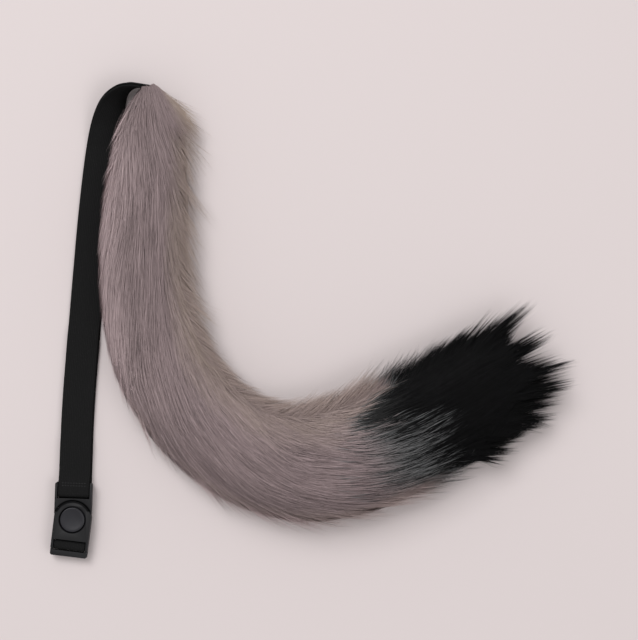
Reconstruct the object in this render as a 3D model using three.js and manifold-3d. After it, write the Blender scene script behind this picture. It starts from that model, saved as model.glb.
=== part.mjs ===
// A costume tail on a waist strap, lying on its side on a table, in millimetres, +Z up.
// The fur tail curls like a hook and ends in a black brush. Its root is sewn across the middle of an
// elastic strap, whose two halves twist flat, lie on each other and close in a round-button buckle.
// X and Y lie in the table's plane, and the origin is under the middle of the whole thing.
import * as THREE from "three";
import { mergeVertices } from "three/addons/utils/BufferGeometryUtils.js";
import Module from "manifold-3d";

const wasm = await Module();
wasm.setup();

// Fur tail
const TAIL_LENGTH = 595;
const TAIL_WIDTH = 112;
const TAIL_HEIGHT = 64;
const PILE_DEPTH = 6;
const LOCK_LENGTH = 74;
const LOCK_WIDTH = 25;
const LOCK_ROOT_SINK = 3;
const BRUSH_START = 0.725;
const BRUSH_TOOTH = 26;
const COLOUR_GAP = 0.8;
const SMALLEST_STEP = 0.5;

// Strap
const STRAP_WIDTH = 25;
const STRAP_THICKNESS = 1.5;
const LAYER_GAP = 0.3;
const STRAP_REACH = 366;
const SEWN_LENGTH = 17;
const FREE_END_REACH = 143;
const FOLDED_END_LENGTH = 30;

// Buckle
const STRAP_SIDE_CLEARANCE = 0.4;
const RAIL_WIDTH = 1.8;
const CORNER_RADIUS = 1.6;
const STRAP_BAR_WIDTH = 6;
const STRAP_BAR_HEIGHT = 2.6;
const RAIL_OVERHANG = 3.2;
const PLATE_WEB = 1.4;
const STRAP_PLATE_THICKNESS = 7;
const CASE_WALL = 4.5;
const BOSS_WALL = 3;
const BOSS_CLEARANCE = 0.4;
const CENTRE_BAR_WIDTH = 3;
const CENTRE_BAR_HEIGHT = 2.4;
const CENTRE_BAR_LEVEL = 3;
const SLOT_CLEARANCE = 0.7;
const END_BAR_WIDTH = 4.3;
const END_BAR_DROP = 2;
const LATCH_TURN = -5;
const FLOOR_THICKNESS = 1.5;
const TONGUE_THICKNESS = 1.4;
const TONGUE_WIDTH = 17;
const TONGUE_CLEARANCE = 0.3;
const POST_RADIUS = 4;
const EYE_CLEARANCE = 0.4;

// Button
const BUTTON_RADIUS = 9.7;
const BUTTON_CLEARANCE = 1.1;
const BUTTON_FLANGE = 1.9;
const FLANGE_THICKNESS = 1.3;
const FLANGE_CLEARANCE = 0.4;
const LIP_THICKNESS = 1.5;
const BUTTON_DISH = 0.7;
const BUTTON_RIM_DROP = 0.3;
const BUTTON_TRAVEL = 1;
const PRESSED_CLEARANCE = 0.4;

const COLOURS = {
  greyFur: { color: 0x7a6b6b, roughness: 0.85, metalness: 0 },
  blackFur: { color: 0x151516, roughness: 0.8, metalness: 0 },
  webbing: { color: 0x1c1c1e, roughness: 0.9, metalness: 0 },
  plastic: { color: 0x303134, roughness: 0.5, metalness: 0 },
  button: { color: 0x3a3a40, roughness: 0.4, metalness: 0 },
};

// The tail's sections, from its sewn root to the end of its brush.
// along: share of TAIL_LENGTH. heading: degrees, from +X towards +Y. width: share of TAIL_WIDTH.
// height, base: the fur's thickness and the level of its underside, shares of TAIL_HEIGHT.
const TAIL_SECTIONS = [
  { along: 0.0, heading: 279, width: 0.15, height: 0.32, base: 0.1 },
  { along: 0.027, heading: 286, width: 0.36, height: 0.42, base: 0.06 },
  { along: 0.055, heading: 280, width: 0.51, height: 0.54, base: 0.03 },
  { along: 0.1, heading: 267, width: 0.59, height: 0.66, base: 0.01 },
  { along: 0.15, heading: 266, width: 0.64, height: 0.76, base: 0.0 },
  { along: 0.22, heading: 270, width: 0.67, height: 0.84, base: 0.0 },
  { along: 0.3, heading: 276, width: 0.7, height: 0.9, base: 0.0 },
  { along: 0.38, heading: 293, width: 0.75, height: 0.95, base: 0.0 },
  { along: 0.46, heading: 314, width: 0.78, height: 1.0, base: 0.0 },
  { along: 0.54, heading: 334, width: 0.84, height: 1.0, base: 0.0 },
  { along: 0.61, heading: 357, width: 0.9, height: 0.98, base: 0.0 },
  { along: 0.68, heading: 379, width: 0.97, height: 0.96, base: 0.0 },
  { along: 0.76, heading: 390, width: 1.0, height: 0.94, base: 0.0 },
  { along: 0.83, heading: 390, width: 0.95, height: 0.86, base: 0.0 },
  { along: 0.88, heading: 386, width: 0.89, height: 0.74, base: 0.0 },
  { along: 0.92, heading: 379, width: 0.76, height: 0.57, base: 0.02 },
  { along: 0.955, heading: 372, width: 0.42, height: 0.36, base: 0.05 },
];
const SECTION_POINTS = 16;
const SECTION_MIDDLE = 0.42;
const SECTION_BELLY = 0.56;

// The pointed tufts that end the brush. fromAlong, toAlong: shares of TAIL_LENGTH.
// fromSide, toSide: shares of half TAIL_WIDTH, positive on the inside of the curl.
// level: share of TAIL_HEIGHT. thick: share of LOCK_WIDTH.
const TIP_TUFTS = [
  { fromAlong: 0.8, fromSide: 0.74, toAlong: 0.907, toSide: 0.93, level: 0.3, thick: 0.8 },
  { fromAlong: 0.84, fromSide: 0.6, toAlong: 0.965, toSide: 0.98, level: 0.34, thick: 1.1 },
  { fromAlong: 0.86, fromSide: 0.4, toAlong: 0.984, toSide: 0.51, level: 0.44, thick: 0.9 },
  { fromAlong: 0.86, fromSide: 0.14, toAlong: 1.003, toSide: 0.02, level: 0.24, thick: 1.1 },
  { fromAlong: 0.86, fromSide: -0.06, toAlong: 1.0, toSide: -0.23, level: 0.36, thick: 1.1 },
  { fromAlong: 0.85, fromSide: -0.26, toAlong: 0.98, toSide: -0.44, level: 0.22, thick: 1.0 },
  { fromAlong: 0.84, fromSide: -0.42, toAlong: 0.96, toSide: -0.66, level: 0.32, thick: 1.0 },
  { fromAlong: 0.82, fromSide: -0.56, toAlong: 0.918, toSide: -0.86, level: 0.2, thick: 1.0 },
  { fromAlong: 0.78, fromSide: -0.66, toAlong: 0.86, toSide: -0.97, level: 0.28, thick: 0.9 },
];

// The strap's lie from the sewn root to the button and on to the buckle's end.
// along: share of STRAP_REACH. heading: degrees. roll: 90 where the strap stands on edge, 0 where flat.
// lift: level of its lower edge, share of STRAP_WIDTH.
const STRAP_LIE = [
  { along: 0.0, heading: 170, roll: 90, lift: 0.13 },
  { along: 0.018, heading: 176, roll: 88, lift: 0.12 },
  { along: 0.038, heading: 203, roll: 78, lift: 0.08 },
  { along: 0.064, heading: 230, roll: 60, lift: 0.05 },
  { along: 0.095, heading: 247, roll: 38, lift: 0.02 },
  { along: 0.14, heading: 257, roll: 14, lift: 0.0 },
  { along: 0.19, heading: 261, roll: 0, lift: 0.0 },
  { along: 0.24, heading: 263, roll: 0, lift: 0.0 },
  { along: 0.4, heading: 265, roll: 0, lift: 0.0 },
  { along: 0.7, heading: 265.5, roll: 0, lift: 0.0 },
  { along: 0.82, heading: 268, roll: 0, lift: 0.0 },
  { along: 0.995, heading: 268, roll: 0, lift: 0.0 },
  { along: 1.005, heading: 268 + LATCH_TURN, roll: 0, lift: 0.0 },
];

const LAYER_PITCH = STRAP_THICKNESS + LAYER_GAP;
const BUCKLE_BASE = 2 * LAYER_PITCH;
const CLEAR_WIDTH = STRAP_WIDTH + 2 * STRAP_SIDE_CLEARANCE;
const BUCKLE_WIDTH = CLEAR_WIDTH + 2 * RAIL_WIDTH;
const ROUTE_STEP = 1;

// Levels in the buckle, from its underside.
const TONGUE_LEVEL = FLOOR_THICKNESS + TONGUE_CLEARANCE;
const CHAMBER_LEVEL = TONGUE_LEVEL + TONGUE_THICKNESS + TONGUE_CLEARANCE;
const FLANGE_LEVEL = CHAMBER_LEVEL + PRESSED_CLEARANCE + BUTTON_TRAVEL;
const CHAMBER_TOP = FLANGE_LEVEL + FLANGE_THICKNESS + LAYER_GAP;
const BUCKLE_THICKNESS = CHAMBER_TOP + LIP_THICKNESS;
const STRAP_BAR_TOP = LAYER_PITCH + STRAP_BAR_HEIGHT;

// Distances in the buckle, from the middle of its button.
const FLANGE_RADIUS = BUTTON_RADIUS + BUTTON_FLANGE;
const CHAMBER_RADIUS = FLANGE_RADIUS + FLANGE_CLEARANCE;
const WELL_RADIUS = BUTTON_RADIUS + BUTTON_CLEARANCE;
const BOSS_RADIUS = CHAMBER_RADIUS + BOSS_WALL;
const STRAP_SLOT_START = BOSS_RADIUS + BOSS_CLEARANCE + PLATE_WEB;
const FOLD_RADIUS = (STRAP_BAR_TOP + LAYER_GAP) / 2;
const STRAP_BAR_START = STRAP_SLOT_START + LAYER_GAP + STRAP_THICKNESS / 2 + FOLD_RADIUS;
const STRAP_BAR_END = STRAP_BAR_START + STRAP_BAR_WIDTH;
const STRAP_PLATE_REACH = STRAP_BAR_END + RAIL_OVERHANG;
const LATCH_SLOT_START = CHAMBER_RADIUS + CASE_WALL;
const LATCH_SLOT_WIDTH = STRAP_THICKNESS + 2 * SLOT_CLEARANCE;
const LATCH_SLOTS_END = LATCH_SLOT_START + 2 * LATCH_SLOT_WIDTH + CENTRE_BAR_WIDTH;
const CENTRE_BAR_MIDDLE = (LATCH_SLOT_START + LATCH_SLOTS_END) / 2;
const LATCH_REACH = LATCH_SLOTS_END + END_BAR_WIDTH;

const radians = THREE.MathUtils.degToRad;
const mix = THREE.MathUtils.lerp;

// A column of a table at a share along it, straight between its rows.
function read(table, column, along) {
  const next = table.findIndex((row) => row.along > along);
  if (next === 0) return table[0][column];
  if (next < 0) return table.at(-1)[column];
  const [a, b] = [table[next - 1], table[next]];
  return mix(a[column], b[column], (along - a.along) / (b.along - a.along));
}

// A level route that starts at the origin and follows a table's headings.
// Before its start and past its last step it runs straight on.
function routeOf(table, length, reach) {
  const stops = [new THREE.Vector2(0, 0)];
  const steps = Math.ceil((reach * length) / ROUTE_STEP);
  for (let i = 0; i < steps; i++) {
    const heading = radians(read(table, "heading", ((i + 0.5) * ROUTE_STEP) / length));
    const step = new THREE.Vector2(Math.cos(heading), Math.sin(heading)).multiplyScalar(ROUTE_STEP);
    stops.push(stops[i].clone().add(step));
  }
  return (distance) => {
    const heading = radians(read(table, "heading", distance / length));
    const forward = new THREE.Vector2(Math.cos(heading), Math.sin(heading));
    const left = new THREE.Vector2(-forward.y, forward.x);
    const i = THREE.MathUtils.clamp(Math.floor(distance / ROUTE_STEP), 0, steps);
    const point = stops[i].clone().addScaledVector(forward, distance - i * ROUTE_STEP);
    return { point, forward, left };
  };
}

const tailRoute = routeOf(TAIL_SECTIONS, TAIL_LENGTH, 1);
const strapRoute = routeOf(STRAP_LIE, STRAP_REACH, 1.1);

// A closed solid through rings of points that all have the same count. An end ring may be one point.
function loft(rings) {
  const positions = [];
  const index = [];
  const starts = rings.map((ring) => {
    const start = positions.length / 3;
    ring.forEach((p) => positions.push(p.x, p.y, p.z));
    return start;
  });
  const sides = Math.max(...rings.map((ring) => ring.length));
  rings.slice(1).forEach((ring, r) => {
    const [a, b] = [starts[r], starts[r + 1]];
    for (let i = 0; i < sides; i++) {
      const j = (i + 1) % sides;
      if (ring.length === 1) index.push(a + i, a + j, b);
      else if (rings[r].length === 1) index.push(a, b + j, b + i);
      else index.push(a + i, b + j, b + i, a + i, a + j, b + j);
    }
  });
  const last = starts.at(-1);
  for (let i = 1; i < sides - 1; i++) {
    if (rings[0].length > 1) index.push(starts[0], starts[0] + i + 1, starts[0] + i);
    if (rings.at(-1).length > 1) index.push(last, last + i, last + i + 1);
  }
  const geometry = new THREE.BufferGeometry();
  geometry.setAttribute("position", new THREE.Float32BufferAttribute(positions, 3));
  geometry.setIndex(index);
  return geometry;
}

// A three.js geometry as a solid that can be joined and cut.
function solid(geometry) {
  geometry.deleteAttribute("normal");
  geometry.deleteAttribute("uv");
  const merged = mergeVertices(geometry, 1e-4);
  const made = new wasm.Manifold(
    new wasm.Mesh({
      numProp: 3,
      vertProperties: new Float32Array(merged.attributes.position.array),
      triVerts: new Uint32Array(merged.index.array),
    }),
  );
  return made;
}

function piece(name, body, look) {
  const { numProp, vertProperties, triVerts } = body.getMesh();
  const corners = [];
  for (let i = 0; i < vertProperties.length; i += numProp) {
    corners.push(vertProperties[i], vertProperties[i + 1], vertProperties[i + 2]);
  }
  const geometry = new THREE.BufferGeometry();
  geometry.setAttribute("position", new THREE.Float32BufferAttribute(corners, 3));
  geometry.setIndex([...triVerts]);
  geometry.computeVertexNormals();
  const mesh = new THREE.Mesh(geometry, new THREE.MeshStandardMaterial(look));
  mesh.name = name;
  return mesh;
}

// A point of the tail: along its length, across it as a distance to the inside of the curl, at a level.
function tailPoint(along, side, level) {
  const { point, left } = tailRoute(along * TAIL_LENGTH);
  return new THREE.Vector3(point.x + left.x * side, point.y + left.y * side, level);
}

// The tail's skin at an angle round its section (0 inside the curl, 90 on top), with its outward
// direction. The skin lies a pile's depth inside the fur's outer form and is flat where it rests.
function skin(along, angle) {
  const height = read(TAIL_SECTIONS, "height", along) * TAIL_HEIGHT;
  const base = read(TAIL_SECTIONS, "base", along) * TAIL_HEIGHT;
  const half = Math.max(read(TAIL_SECTIONS, "width", along) * (TAIL_WIDTH / 2) - PILE_DEPTH, 2);
  const top = Math.max(height * (1 - SECTION_MIDDLE) - PILE_DEPTH, 2);
  const [c, s] = [Math.cos(radians(angle)), Math.sin(radians(angle))];
  const middle = base + height * SECTION_MIDDLE;
  const level = Math.max(base, middle + s * (s > 0 ? top : height * SECTION_BELLY));
  const spot = tailPoint(along, half * c, level);
  const { left } = tailRoute(along * TAIL_LENGTH);
  const out = new THREE.Vector2(c / half, s / top).normalize();
  const outward = new THREE.Vector3(left.x * out.x, left.y * out.x, out.y);
  return { spot, outward };
}

function tailCore() {
  const rings = TAIL_SECTIONS.flatMap((row, i) => {
    const next = TAIL_SECTIONS[i + 1];
    const stops = next ? [row.along, (row.along + next.along) / 2] : [row.along];
    return stops.map((along) =>
      Array.from({ length: SECTION_POINTS }, (_, k) => skin(along, (k * 360) / SECTION_POINTS).spot),
    );
  });
  return solid(loft(rings));
}

// A lock of fur through a row of spots, each with its half width, rise and sink. It ends in a point.
function lock(spots) {
  const rings = spots.map(({ spot, across, outward, half, rise, sink }) => {
    const ring = [
      spot.clone().addScaledVector(across, half),
      spot.clone().addScaledVector(outward, rise),
      spot.clone().addScaledVector(across, -half),
      spot.clone().addScaledVector(outward, -sink),
    ];
    ring.forEach((p) => (p.z = Math.max(p.z, 0)));
    return ring;
  });
  const last = spots.at(-1);
  rings.push([last.end]);
  return solid(loft(rings));
}

// How a lock swells from its root to near its point, shares of its full size.
const LOCK_SWELL = [
  { along: 0, half: 0.55, rise: 0.0 },
  { along: 0.3, half: 1.0, rise: 0.65 },
  { along: 0.65, half: 0.8, rise: 1.0 },
];

// The same small pseudo-random share for the same whole number each time.
function chance(number) {
  const wave = Math.sin(number * 12.9898) * 43758.5453;
  return wave - Math.floor(wave);
}

// One lock that lies along the skin from a share along the tail, at an angle round it.
function skinLock(along, angle, seed) {
  const length = (LOCK_LENGTH / TAIL_LENGTH) * mix(0.85, 1.15, chance(seed));
  const sway = mix(-7, 7, chance(seed + 0.37));
  const spots = LOCK_SWELL.map((stage) => {
    const { spot, outward } = skin(along + stage.along * length, angle + sway * stage.along);
    const { forward } = tailRoute((along + stage.along * length) * TAIL_LENGTH);
    const across = new THREE.Vector3(forward.x, forward.y, 0).cross(outward).negate().normalize();
    return {
      spot,
      outward,
      across,
      half: (stage.half * LOCK_WIDTH) / 2,
      rise: Math.max(stage.rise * PILE_DEPTH, 0.2),
      sink: LOCK_ROOT_SINK,
    };
  });
  const end = skin(along + length, angle + sway);
  spots.at(-1).end = end.spot.addScaledVector(end.outward, PILE_DEPTH * mix(0.5, 1.3, chance(seed + 0.71)));
  return lock(spots);
}

// Rows of locks over the top and sides of the tail, each row half a step round from the last.
const FIRST_ROW = 0.035;
const LAST_ROW = 0.83;
const ROW_STEP = 0.62;
const LOWEST_ANGLE = -22;
function tailLocks() {
  const locks = [];
  const step = (LOCK_LENGTH * ROW_STEP) / TAIL_LENGTH;
  for (let along = FIRST_ROW, row = 0; along < LAST_ROW; along += step, row++) {
    const half = (read(TAIL_SECTIONS, "width", along) * TAIL_WIDTH) / 2;
    const count = Math.max(3, Math.round((Math.PI * half) / LOCK_WIDTH) + 1);
    const spread = (180 - 2 * LOWEST_ANGLE) / count;
    for (let i = 0; i < count; i++) {
      const angle = LOWEST_ANGLE + spread * (i + (row % 2 ? 0.25 : 0.75));
      locks.push(skinLock(along, angle, row * 17 + i));
    }
  }
  return locks;
}

function tipTufts() {
  return TIP_TUFTS.map((row) => {
    const half = (row.thick * LOCK_WIDTH) / 2;
    const level = row.level * TAIL_HEIGHT;
    const at = (t) =>
      tailPoint(
        mix(row.fromAlong, row.toAlong, t),
        (mix(row.fromSide, row.toSide, t) * TAIL_WIDTH) / 2,
        mix(read(TAIL_SECTIONS, "height", row.fromAlong) * TAIL_HEIGHT * SECTION_MIDDLE, level, t),
      );
    const forward = at(1).sub(at(0)).normalize();
    const across = new THREE.Vector3(0, 0, 1).cross(forward).normalize();
    const outward = forward.clone().cross(across);
    const spots = LOCK_SWELL.map((stage) => ({
      spot: at(stage.along),
      across,
      outward,
      half: half * mix(0.8, 1, stage.half),
      rise: half * 0.6,
      sink: half * 0.6,
    }));
    spots.at(-1).end = at(1);
    return lock(spots);
  });
}

// Everything past a toothed line across the tail, where the black pile meets the grey.
const BRUSH_TEETH = 7;
function brushSide(shift) {
  const outline = [];
  const reach = TAIL_WIDTH * 0.7;
  for (let i = 0; i <= BRUSH_TEETH * 2; i++) {
    const across = 1 - i / BRUSH_TEETH;
    const tooth = (i % 2 ? BRUSH_TOOTH / 2 : -BRUSH_TOOTH / 2) + shift;
    const along = BRUSH_START + tooth / TAIL_LENGTH;
    outline.push(tailPoint(along, across * reach, 0));
  }
  outline.push(tailPoint(1.15, -1.6 * reach, 0), tailPoint(1.15, 1.6 * reach, 0));
  const shape = new THREE.Shape(outline.map((p) => new THREE.Vector2(p.x, p.y)));
  const prism = new THREE.ExtrudeGeometry(shape, { depth: TAIL_HEIGHT * 2, bevelEnabled: false });
  prism.translate(0, 0, -TAIL_HEIGHT / 2);
  return solid(prism);
}

// A point of the strap: a distance along its lie, a height above its lowest layer, and across it.
function strapPoint(distance, height, across) {
  const along = distance / STRAP_REACH;
  const { point, left } = strapRoute(distance);
  const roll = radians(read(STRAP_LIE, "roll", along));
  const lift = read(STRAP_LIE, "lift", along) * STRAP_WIDTH;
  const outward = new THREE.Vector3(-left.x, -left.y, 0);
  const up = new THREE.Vector3(0, 0, 1);
  const width = outward.clone().multiplyScalar(Math.cos(roll)).addScaledVector(up, Math.sin(roll));
  const face = up.clone().multiplyScalar(Math.cos(roll)).addScaledVector(outward, -Math.sin(roll));
  const level = lift + (STRAP_WIDTH / 2) * Math.sin(roll) + (STRAP_THICKNESS / 2) * Math.cos(roll);
  return new THREE.Vector3(point.x, point.y, level).addScaledVector(face, height).addScaledVector(width, across);
}

// A band that runs through stops of distance and height, with a thickness at each.
function band(stops, width) {
  const rings = stops.map((stop, i) => {
    const before = stops[Math.max(i - 1, 0)];
    const after = stops[Math.min(i + 1, stops.length - 1)];
    const run = new THREE.Vector2(after.distance - before.distance, after.height - before.height).normalize();
    const [d, h] = [(-run.y * stop.thickness) / 2, (run.x * stop.thickness) / 2];
    return [
      strapPoint(stop.distance + d, stop.height + h, width / 2),
      strapPoint(stop.distance - d, stop.height - h, width / 2),
      strapPoint(stop.distance - d, stop.height - h, -width / 2),
      strapPoint(stop.distance + d, stop.height + h, -width / 2),
    ];
  });
  return solid(loft(rings));
}

// Stops on an arc between two angles, in the plane of distance and height.
function arcStops(distance, height, radius, from, to, count) {
  return Array.from({ length: count + 1 }, (_, i) => {
    const angle = radians(mix(from, to, i / count));
    return { distance: distance + radius * Math.cos(angle), height: height + radius * Math.sin(angle) };
  });
}

// Stops along a straight stretch, close together where the strap twists.
const TWIST_END = 0.22;
const TWIST_STEP = 4;
const PLAIN_STEP = 16;
function runStops(from, to, height) {
  const stops = [];
  const sign = Math.sign(to - from);
  for (let distance = from; (to - distance) * sign > 0; ) {
    stops.push({ distance, height });
    distance += sign * (distance < TWIST_END * STRAP_REACH ? TWIST_STEP : PLAIN_STEP);
  }
  const crowded = Math.abs(stops.at(-1).distance - to) < TWIST_STEP / 2 && stops.length > 1;
  if (crowded) stops.pop();
  return [...stops, { distance: to, height }];
}

// The strap from its sewn fold on the buckle's bar, up to the root, round its hairpin there, back
// along the table, through the latch's slots and along itself to its cut end.
const RAMP = 12;
const FOLD_STEPS = 8;
const BEND_STEPS = 3;
function strapStops() {
  const sewnEnd = -SEWN_LENGTH / 2;
  const underBar = BUCKLE_BASE;
  const overBar = BUCKLE_BASE + STRAP_BAR_TOP + LAYER_GAP;
  const foldMiddle = STRAP_REACH - STRAP_BAR_START;
  const barEnd = STRAP_REACH - STRAP_BAR_END;
  const foldedCut = barEnd - FOLDED_END_LENGTH;
  const freeCut = STRAP_REACH - FREE_END_REACH;
  const bend = LAYER_PITCH - LAYER_GAP / 2;
  const barMiddle = STRAP_REACH + CENTRE_BAR_MIDDLE;
  const wrapHalf = (CENTRE_BAR_WIDTH + LATCH_SLOT_WIDTH) / 2;
  const overCentre = BUCKLE_BASE + CENTRE_BAR_LEVEL + CENTRE_BAR_HEIGHT + LAYER_GAP;
  return [
    ...runStops(foldedCut, foldMiddle, underBar).slice(0, -1),
    ...arcStops(foldMiddle, (underBar + overBar) / 2, FOLD_RADIUS, -90, 90, FOLD_STEPS),
    { distance: barEnd, height: overBar },
    { distance: barEnd - RAMP, height: 3 * LAYER_PITCH },
    { distance: foldedCut - LAYER_PITCH, height: 3 * LAYER_PITCH },
    ...runStops(foldedCut - RAMP, freeCut - LAYER_PITCH, 2 * LAYER_PITCH),
    ...runStops(freeCut - RAMP, sewnEnd, LAYER_PITCH).slice(0, -1),
    ...arcStops(sewnEnd, LAYER_PITCH / 2, LAYER_PITCH / 2, 90, 270, BEND_STEPS + 1),
    ...runStops(sewnEnd, barMiddle + wrapHalf - bend, 0).slice(1, -1),
    ...arcStops(barMiddle + wrapHalf - bend, bend, bend, -90, 0, BEND_STEPS),
    ...arcStops(barMiddle + wrapHalf - bend, overCentre - bend, bend, 0, 90, BEND_STEPS),
    ...arcStops(barMiddle - wrapHalf + bend, overCentre - bend, bend, 90, 180, BEND_STEPS),
    ...arcStops(barMiddle - wrapHalf - bend, LAYER_PITCH + bend, bend, 0, -90, BEND_STEPS),
    ...runStops(barMiddle - wrapHalf - bend - LAYER_PITCH, freeCut, LAYER_PITCH),
  ];
}

function strap() {
  return band(
    strapStops().map((stop) => ({ ...stop, thickness: STRAP_THICKNESS })),
    STRAP_WIDTH,
  );
}

// The room that the fur leaves round the strap's layers beside the tail.
const STACK_END = 0.9;
function strapRoom() {
  const room = (distance, layers) => ({
    distance,
    height: ((layers - 1) * LAYER_PITCH) / 2,
    thickness: layers * LAYER_PITCH + LAYER_GAP,
  });
  const freeCut = STRAP_REACH - FREE_END_REACH;
  const beside = runStops(-SEWN_LENGTH / 2 - LAYER_PITCH, freeCut - 2 * RAMP, 0);
  const stacked = runStops(freeCut - RAMP, STACK_END * STRAP_REACH, 0);
  const stops = [...beside.map((s) => room(s.distance, 2)), ...stacked.map((s) => room(s.distance, 3))];
  return band(stops, STRAP_WIDTH + 2 * LAYER_GAP);
}

// A flat plate between two levels, from a closed outline.
function plate(shape, low, high) {
  const geometry = new THREE.ExtrudeGeometry(shape, { depth: high - low, bevelEnabled: false, curveSegments: 10 });
  return solid(geometry.translate(0, 0, low));
}

// A rectangle with round corners, from its lowest to its highest corner.
function roundedBox(x0, y0, x1, y1, radius) {
  const shape = new THREE.Shape();
  shape.moveTo(x0 + radius, y0);
  shape.lineTo(x1 - radius, y0);
  shape.absarc(x1 - radius, y0 + radius, radius, -Math.PI / 2, 0);
  shape.lineTo(x1, y1 - radius);
  shape.absarc(x1 - radius, y1 - radius, radius, 0, Math.PI / 2);
  shape.lineTo(x0 + radius, y1);
  shape.absarc(x0 + radius, y1 - radius, radius, Math.PI / 2, Math.PI);
  shape.lineTo(x0, y0 + radius);
  shape.absarc(x0 + radius, y0 + radius, radius, Math.PI, Math.PI * 1.5);
  return shape;
}

const ROUND_SIDES = 36;
function disc(radius, low, high) {
  const geometry = new THREE.CylinderGeometry(radius, radius, high - low, ROUND_SIDES);
  return solid(geometry.rotateX(Math.PI / 2).translate(0, 0, (low + high) / 2));
}

function block(width, y0, y1, low, high) {
  const geometry = new THREE.BoxGeometry(width, y1 - y0, high - low);
  return solid(geometry.translate(0, (y0 + y1) / 2, (low + high) / 2));
}

// The plate that the strap is sewn to: rails and a bar, an edge hollowed round the latch's boss, and
// a tongue with an eye that goes into the latch. +Y runs from the button to the strap.
function strapPlate() {
  const half = BUCKLE_WIDTH / 2;
  const over = BUCKLE_THICKNESS + 1;
  const body = plate(roundedBox(-half, 0, half, STRAP_PLATE_REACH, CORNER_RADIUS), 0, STRAP_PLATE_THICKNESS);
  const slot = block(CLEAR_WIDTH, STRAP_SLOT_START, STRAP_PLATE_REACH + 1, -1, over);
  const bar = block(BUCKLE_WIDTH - RAIL_WIDTH, STRAP_BAR_START, STRAP_BAR_END, LAYER_PITCH, STRAP_BAR_TOP);
  const bossRoom = disc(BOSS_RADIUS + BOSS_CLEARANCE, -1, over);
  const tongueTop = TONGUE_LEVEL + TONGUE_THICKNESS;
  const tongue = block(TONGUE_WIDTH, 0, BOSS_RADIUS + BOSS_CLEARANCE + PLATE_WEB / 2, TONGUE_LEVEL, tongueTop);
  const end = disc(TONGUE_WIDTH / 2, TONGUE_LEVEL, tongueTop);
  const eye = disc(POST_RADIUS + EYE_CLEARANCE, 0, over);
  return body.subtract(slot).subtract(bossRoom).add(bar).add(tongue).add(end).subtract(eye);
}

// The latch: a round-ended case with a floor, a pocket for the tongue, a post through its eye, the
// button's chamber under a lip, and two slots and a bar that the strap goes round.
function latch() {
  const half = BUCKLE_WIDTH / 2;
  const over = BUCKLE_THICKNESS + 1;
  const foot = plate(roundedBox(-half, -LATCH_REACH, half, CORNER_RADIUS, CORNER_RADIUS), 0, BUCKLE_THICKNESS);
  const boss = disc(BOSS_RADIUS, 0, BUCKLE_THICKNESS).intersect(
    block(BUCKLE_WIDTH, -BOSS_RADIUS, BOSS_RADIUS + 1, -1, over),
  );
  const window = block(CLEAR_WIDTH, -LATCH_SLOTS_END, -LATCH_SLOT_START, -1, over);
  const endStep = block(
    BUCKLE_WIDTH + 1,
    -LATCH_REACH - 1,
    RAIL_WIDTH - LATCH_SLOTS_END,
    BUCKLE_THICKNESS - END_BAR_DROP,
    over,
  );
  const bar = block(
    BUCKLE_WIDTH - RAIL_WIDTH,
    -CENTRE_BAR_MIDDLE - CENTRE_BAR_WIDTH / 2,
    -CENTRE_BAR_MIDDLE + CENTRE_BAR_WIDTH / 2,
    CENTRE_BAR_LEVEL,
    CENTRE_BAR_LEVEL + CENTRE_BAR_HEIGHT,
  );
  const sway = BOSS_RADIUS * Math.sin(radians(Math.abs(LATCH_TURN)));
  const pocketHalf = TONGUE_WIDTH / 2 + TONGUE_CLEARANCE + sway;
  const pocket = block(2 * pocketHalf, 0, BOSS_RADIUS + 1, FLOOR_THICKNESS, CHAMBER_LEVEL).add(
    disc(pocketHalf, FLOOR_THICKNESS, CHAMBER_LEVEL),
  );
  const chamber = disc(CHAMBER_RADIUS, FLOOR_THICKNESS, CHAMBER_TOP);
  const well = disc(WELL_RADIUS, FLOOR_THICKNESS, over);
  const post = disc(POST_RADIUS, 0, TONGUE_LEVEL + TONGUE_THICKNESS);
  const walls = foot.add(boss).subtract(window).subtract(endStep).add(bar);
  return walls.subtract(pocket).subtract(chamber).subtract(well).add(post);
}

// The button, a dished cap with a flange that the latch's lip holds down.
const DISH_STEPS = 5;
function button() {
  const top = BUCKLE_THICKNESS - BUTTON_RIM_DROP;
  const flangeTop = FLANGE_LEVEL + FLANGE_THICKNESS;
  const profile = [
    new THREE.Vector2(0, FLANGE_LEVEL),
    new THREE.Vector2(FLANGE_RADIUS, FLANGE_LEVEL),
    new THREE.Vector2(FLANGE_RADIUS, flangeTop),
    new THREE.Vector2(BUTTON_RADIUS, flangeTop),
    new THREE.Vector2(BUTTON_RADIUS, top - BUTTON_RIM_DROP),
  ];
  for (let i = 0; i <= DISH_STEPS; i++) {
    const out = 1 - i / DISH_STEPS;
    const radius = (BUTTON_RADIUS - BUTTON_RIM_DROP) * out;
    profile.push(new THREE.Vector2(radius, top - BUTTON_DISH * (1 - out * out)));
  }
  return solid(new THREE.LatheGeometry(profile, ROUND_SIDES).rotateX(Math.PI / 2));
}

// A buckle piece turned about the button and set on the strap's two lower layers.
function onStrap(body, turn) {
  const { point } = strapRoute(STRAP_REACH);
  const { forward } = strapRoute(STRAP_REACH - STRAP_PLATE_REACH);
  const angle = THREE.MathUtils.radToDeg(Math.atan2(-forward.y, -forward.x)) - 90;
  return body.rotate([0, 0, angle + turn]).translate([point.x, point.y, BUCKLE_BASE]);
}

// The largest shell of a body, without the crumbs and closed hollows that joining locks leaves.
function shell(body) {
  return body.decompose().reduce((a, b) => (b.volume() > a.volume() ? b : a));
}

const room = strapRoom();
const fur = shell(wasm.Manifold.union([tailCore(), ...tailLocks(), ...tipTufts()]).simplify(SMALLEST_STEP));
const greyFur = shell(fur.subtract(brushSide(0)).subtract(room));
const blackFur = shell(fur.intersect(brushSide(COLOUR_GAP)));

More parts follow.
